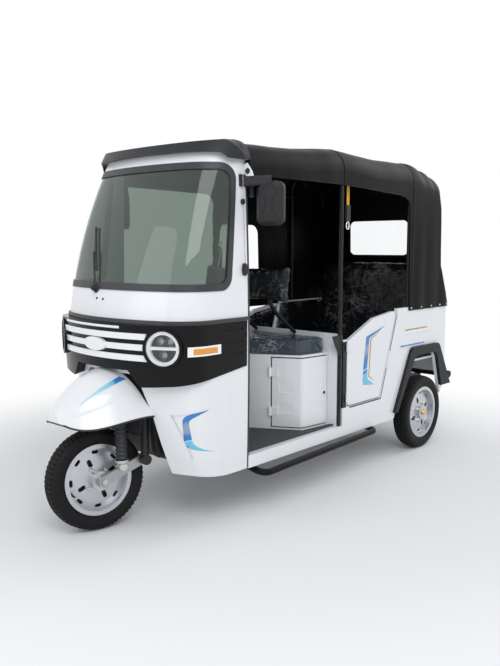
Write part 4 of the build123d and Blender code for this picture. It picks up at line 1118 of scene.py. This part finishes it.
cloth_thickness = thicken(cover, CANVAS_T)
bpy.context.view_layer.objects.active = cover
bpy.ops.object.modifier_apply(modifier=cloth_thickness.name)
REAR_WINDOW = [(-0.235, 1.272), (0.235, 1.272), (0.235, 1.510), (-0.235, 1.510)]
SIDE_WINDOW = [(-0.135, 1.000), (-0.500, 1.000), (-0.484, 1.473), (-0.135, 1.473)]
cut_window(cover, REAR_WINDOW, "X", -1.5, -1.15, 0.038)
cut_window(cover, SIDE_WINDOW, "Y", -0.7, -0.3, 0.060)
cover.data.shade_smooth()
cover.data.set_sharp_from_angle(angle=math.radians(60))
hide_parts("canopy_cover")

SEAM_SIDE = 0.45    # past this distance from the middle the canvas hangs upright


def bead(name, points, radius):
    """Sewn edge or welt on the canvas."""
    cord_mesh(name, points, radius, canvas, "canvas")


shoulder_column = SIDE_STEPS + SHOULDER_STEPS
for name, column in (("top_seam_left", shoulder_column), ("top_seam_right", columns - 1 - shoulder_column)):
    bead(name, [row[column] + Vector((0, 0, 0.0012)) for row in rows if row[0].x > -1.19], 0.0024)
for name, x in HOOP_SEAMS:
    line = min(rows, key=lambda row: abs(row[0].x - x))
    outward = [0.001 * ((point.y > SEAM_SIDE) - (point.y < -SEAM_SIDE)) for point in line]
    bead(name, [point + Vector((0, out, 0.001)) for point, out in zip(line, outward)], 0.0026)
bead("hem_left", [row[0] for row in rows], 0.0032)
bead("hem_right", [row[-1] for row in rows], 0.0032)
bead("front_hem", rows[0], 0.0034)
STUD = [(0, 0.004), (0.004, 0.0036), (0.0065, 0.001), (0.0068, -0.001), (0, -0.001)]
STUDS_AT = (-0.858, -0.985, -1.118, -1.240, -1.335)
studs = []
for side in (1, -1):
    for x in STUDS_AT:
        spot = (x, side * (HALF_W + 0.0012), HEM_Z + 0.012)
        studs.append(lathe(STUD, facing(spot, (0, side, 0)), 16))
make_piece("hem_studs", *joined(*studs), bolt_steel, "body", "steel")
FLAP_REACH = 0.040      # how far the tongue lies on the peak
FLAP_LOW = 1.74
FLAP_T = 0.0015
peak_skin = seat_tree("roof_peak")
flap_lines = []
for spot in rows[0]:
    hit = peak_skin.ray_cast(Vector((spot.x + FLAP_REACH, spot.y, 2.0)), Vector((0, 0, -1)))[0]
    if hit and spot.z > FLAP_LOW:
        flap_lines += [spot, spot.lerp(hit, 0.5) + Vector((0, 0, 0.003)), hit + Vector((0, 0, FLAP_T))]
flap = make_piece("front_flap", flap_lines, grid_faces(len(flap_lines) // 3, 3), canvas, "body", "canvas", 60)
thicken(flap, FLAP_T)

# Strap and rear window: a short yellow webbing loop hangs from the hoop's tube with a moulded buckle and a
# plated hook, and a sheet of clear vinyl is welded into the canvas behind the bench.
STRAP_AT = (-0.198, 0.440)
strap_cloth = finish("strap_webbing", (0.80, 0.42, 0.02), 0.7, scale=300, spread=0.5, bump=0.4)
STRAP = [   # name, half width, depth, lower end, upper end, finish, slot
    ("strap_band", 0.013, 0.002, 1.555, 1.668, strap_cloth, "canvas"),
    ("strap_buckle", 0.019, 0.012, 1.470, 1.560, dark_plastic, "dark_plastic"),
]
HOOK_Z = 1.448
HOOK_WIDE, HOOK_TALL = 0.013, 0.022
strap_x, strap_y = STRAP_AT
for name, half, depth, low, high, cloth, slot in STRAP:
    outline = [(-half, 0), (half, 0), (half, high - low), (-half, high - low)]
    upright = Matrix.Rotation(math.radians(90), 4, "X")
    where = Matrix.Translation((strap_x, strap_y - depth / 2, low)) @ upright
    plate(name, outline, where, -depth, cloth, slot, 0.0008)
hook = []
for step in range(-18, 7):
    turn = step * math.pi / 12
    hook.append((strap_x + HOOK_WIDE * math.cos(turn), strap_y, HOOK_Z + HOOK_TALL * math.sin(turn)))
cord_mesh("strap_hook", hook, 0.0034, chrome, "steel")
clear_vinyl = glass("clear_vinyl", (0.93, 0.94, 0.95), 0.04, 1.2)
dress(clear_vinyl, "rear_window")

# Seats: foam cushions in black vinyl, blue-grey under the driver, still in their clear wrapping film, which
# is pulled tight over the edges and creased. The driver's cushion sits on the box, the bench across the rear.
VOXEL = 0.008
SWELL_CAP = 0.012
PRESSURE = 4.0
SIM_FRAMES = 20
FILM_CREASE = 0.0045
FILM_ROOM = (0.006, 0.008)      # how far the film may pass the lower and upper corner of the CAD box
SEATS = [   # node, shrink before it swells, creases a metre along each axis, finish
    ("driver_cushion", 0.985, (9, 5, 9), blue_film),
    ("driver_backrest", 0.980, (9, 7, 7), black_film),
    ("bench_cushion", 0.985, (8, 4, 9), black_film),
    ("bench_backrest", 0.985, (8, 5, 5), black_film),
]
pads = []
for node, shrink, _, film in SEATS:
    mesh = frame["nodes"][node].data.copy()
    low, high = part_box(node)
    middle = (low + high) / 2
    pad = bpy.data.objects.new(node + "_pad", mesh)
    scene.collection.objects.link(pad)
    for vertex in mesh.vertices:
        vertex.co = middle + (vertex.co - middle) * shrink
    mesh.materials.clear()
    mesh.materials.append(film)
    remesh = pad.modifiers.new("even_mesh", "REMESH")
    remesh.mode = "VOXEL"
    remesh.voxel_size = VOXEL
    bpy.context.view_layer.objects.active = pad
    bpy.ops.object.modifier_apply(modifier=remesh.name)
    pads.append((pad, [v.co.copy() for v in pad.data.vertices], low, high))
for pad, _, _, _ in pads:
    cloth = pad.modifiers.new("cloth", "CLOTH")
    cloth.settings.use_pressure = True
    cloth.settings.uniform_pressure_force = PRESSURE
    cloth.settings.effector_weights.gravity = 0
    cloth.point_cache.frame_end = SIM_FRAMES
for frame_number in range(1, SIM_FRAMES + 1):
    scene.frame_set(frame_number)
for pad, _, _, _ in pads:
    bpy.context.view_layer.objects.active = pad
    bpy.ops.object.modifier_apply(modifier="cloth")
scene.frame_set(1)
for (pad, start, low, high), (node, _, way, _) in zip(pads, SEATS):
    normals = [vertex.normal.copy() for vertex in pad.data.vertices]
    for vertex, was, outward in zip(pad.data.vertices, start, normals):
        move = vertex.co - was
        if move.length > SWELL_CAP:
            move *= SWELL_CAP / move.length
        spot = was + move
        stretch = Vector([a * b for a, b in zip(spot, way)])
        ridge = 1 - abs(noise.noise(stretch + Vector((3.1, 7.7, 1.3)))) * 2
        fine = 1 - abs(noise.noise(stretch * 2.7)) * 2
        spot += outward * FILM_CREASE * (0.7 * max(0, ridge) ** 3 + 0.4 * max(0, fine) ** 4)
        under, over = FILM_ROOM
        spot = Vector([min(max(c, a - under), b + over) for c, a, b in zip(spot, low, high)])
        spot.z = max(spot.z, low.z + 0.0005)
        vertex.co = spot
    pad.data.shade_smooth()
    smooth = pad.modifiers.new("smooth", "SUBSURF")
    smooth.levels = 1
    smooth.render_levels = 1
    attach(pad, "body")
    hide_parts(node)
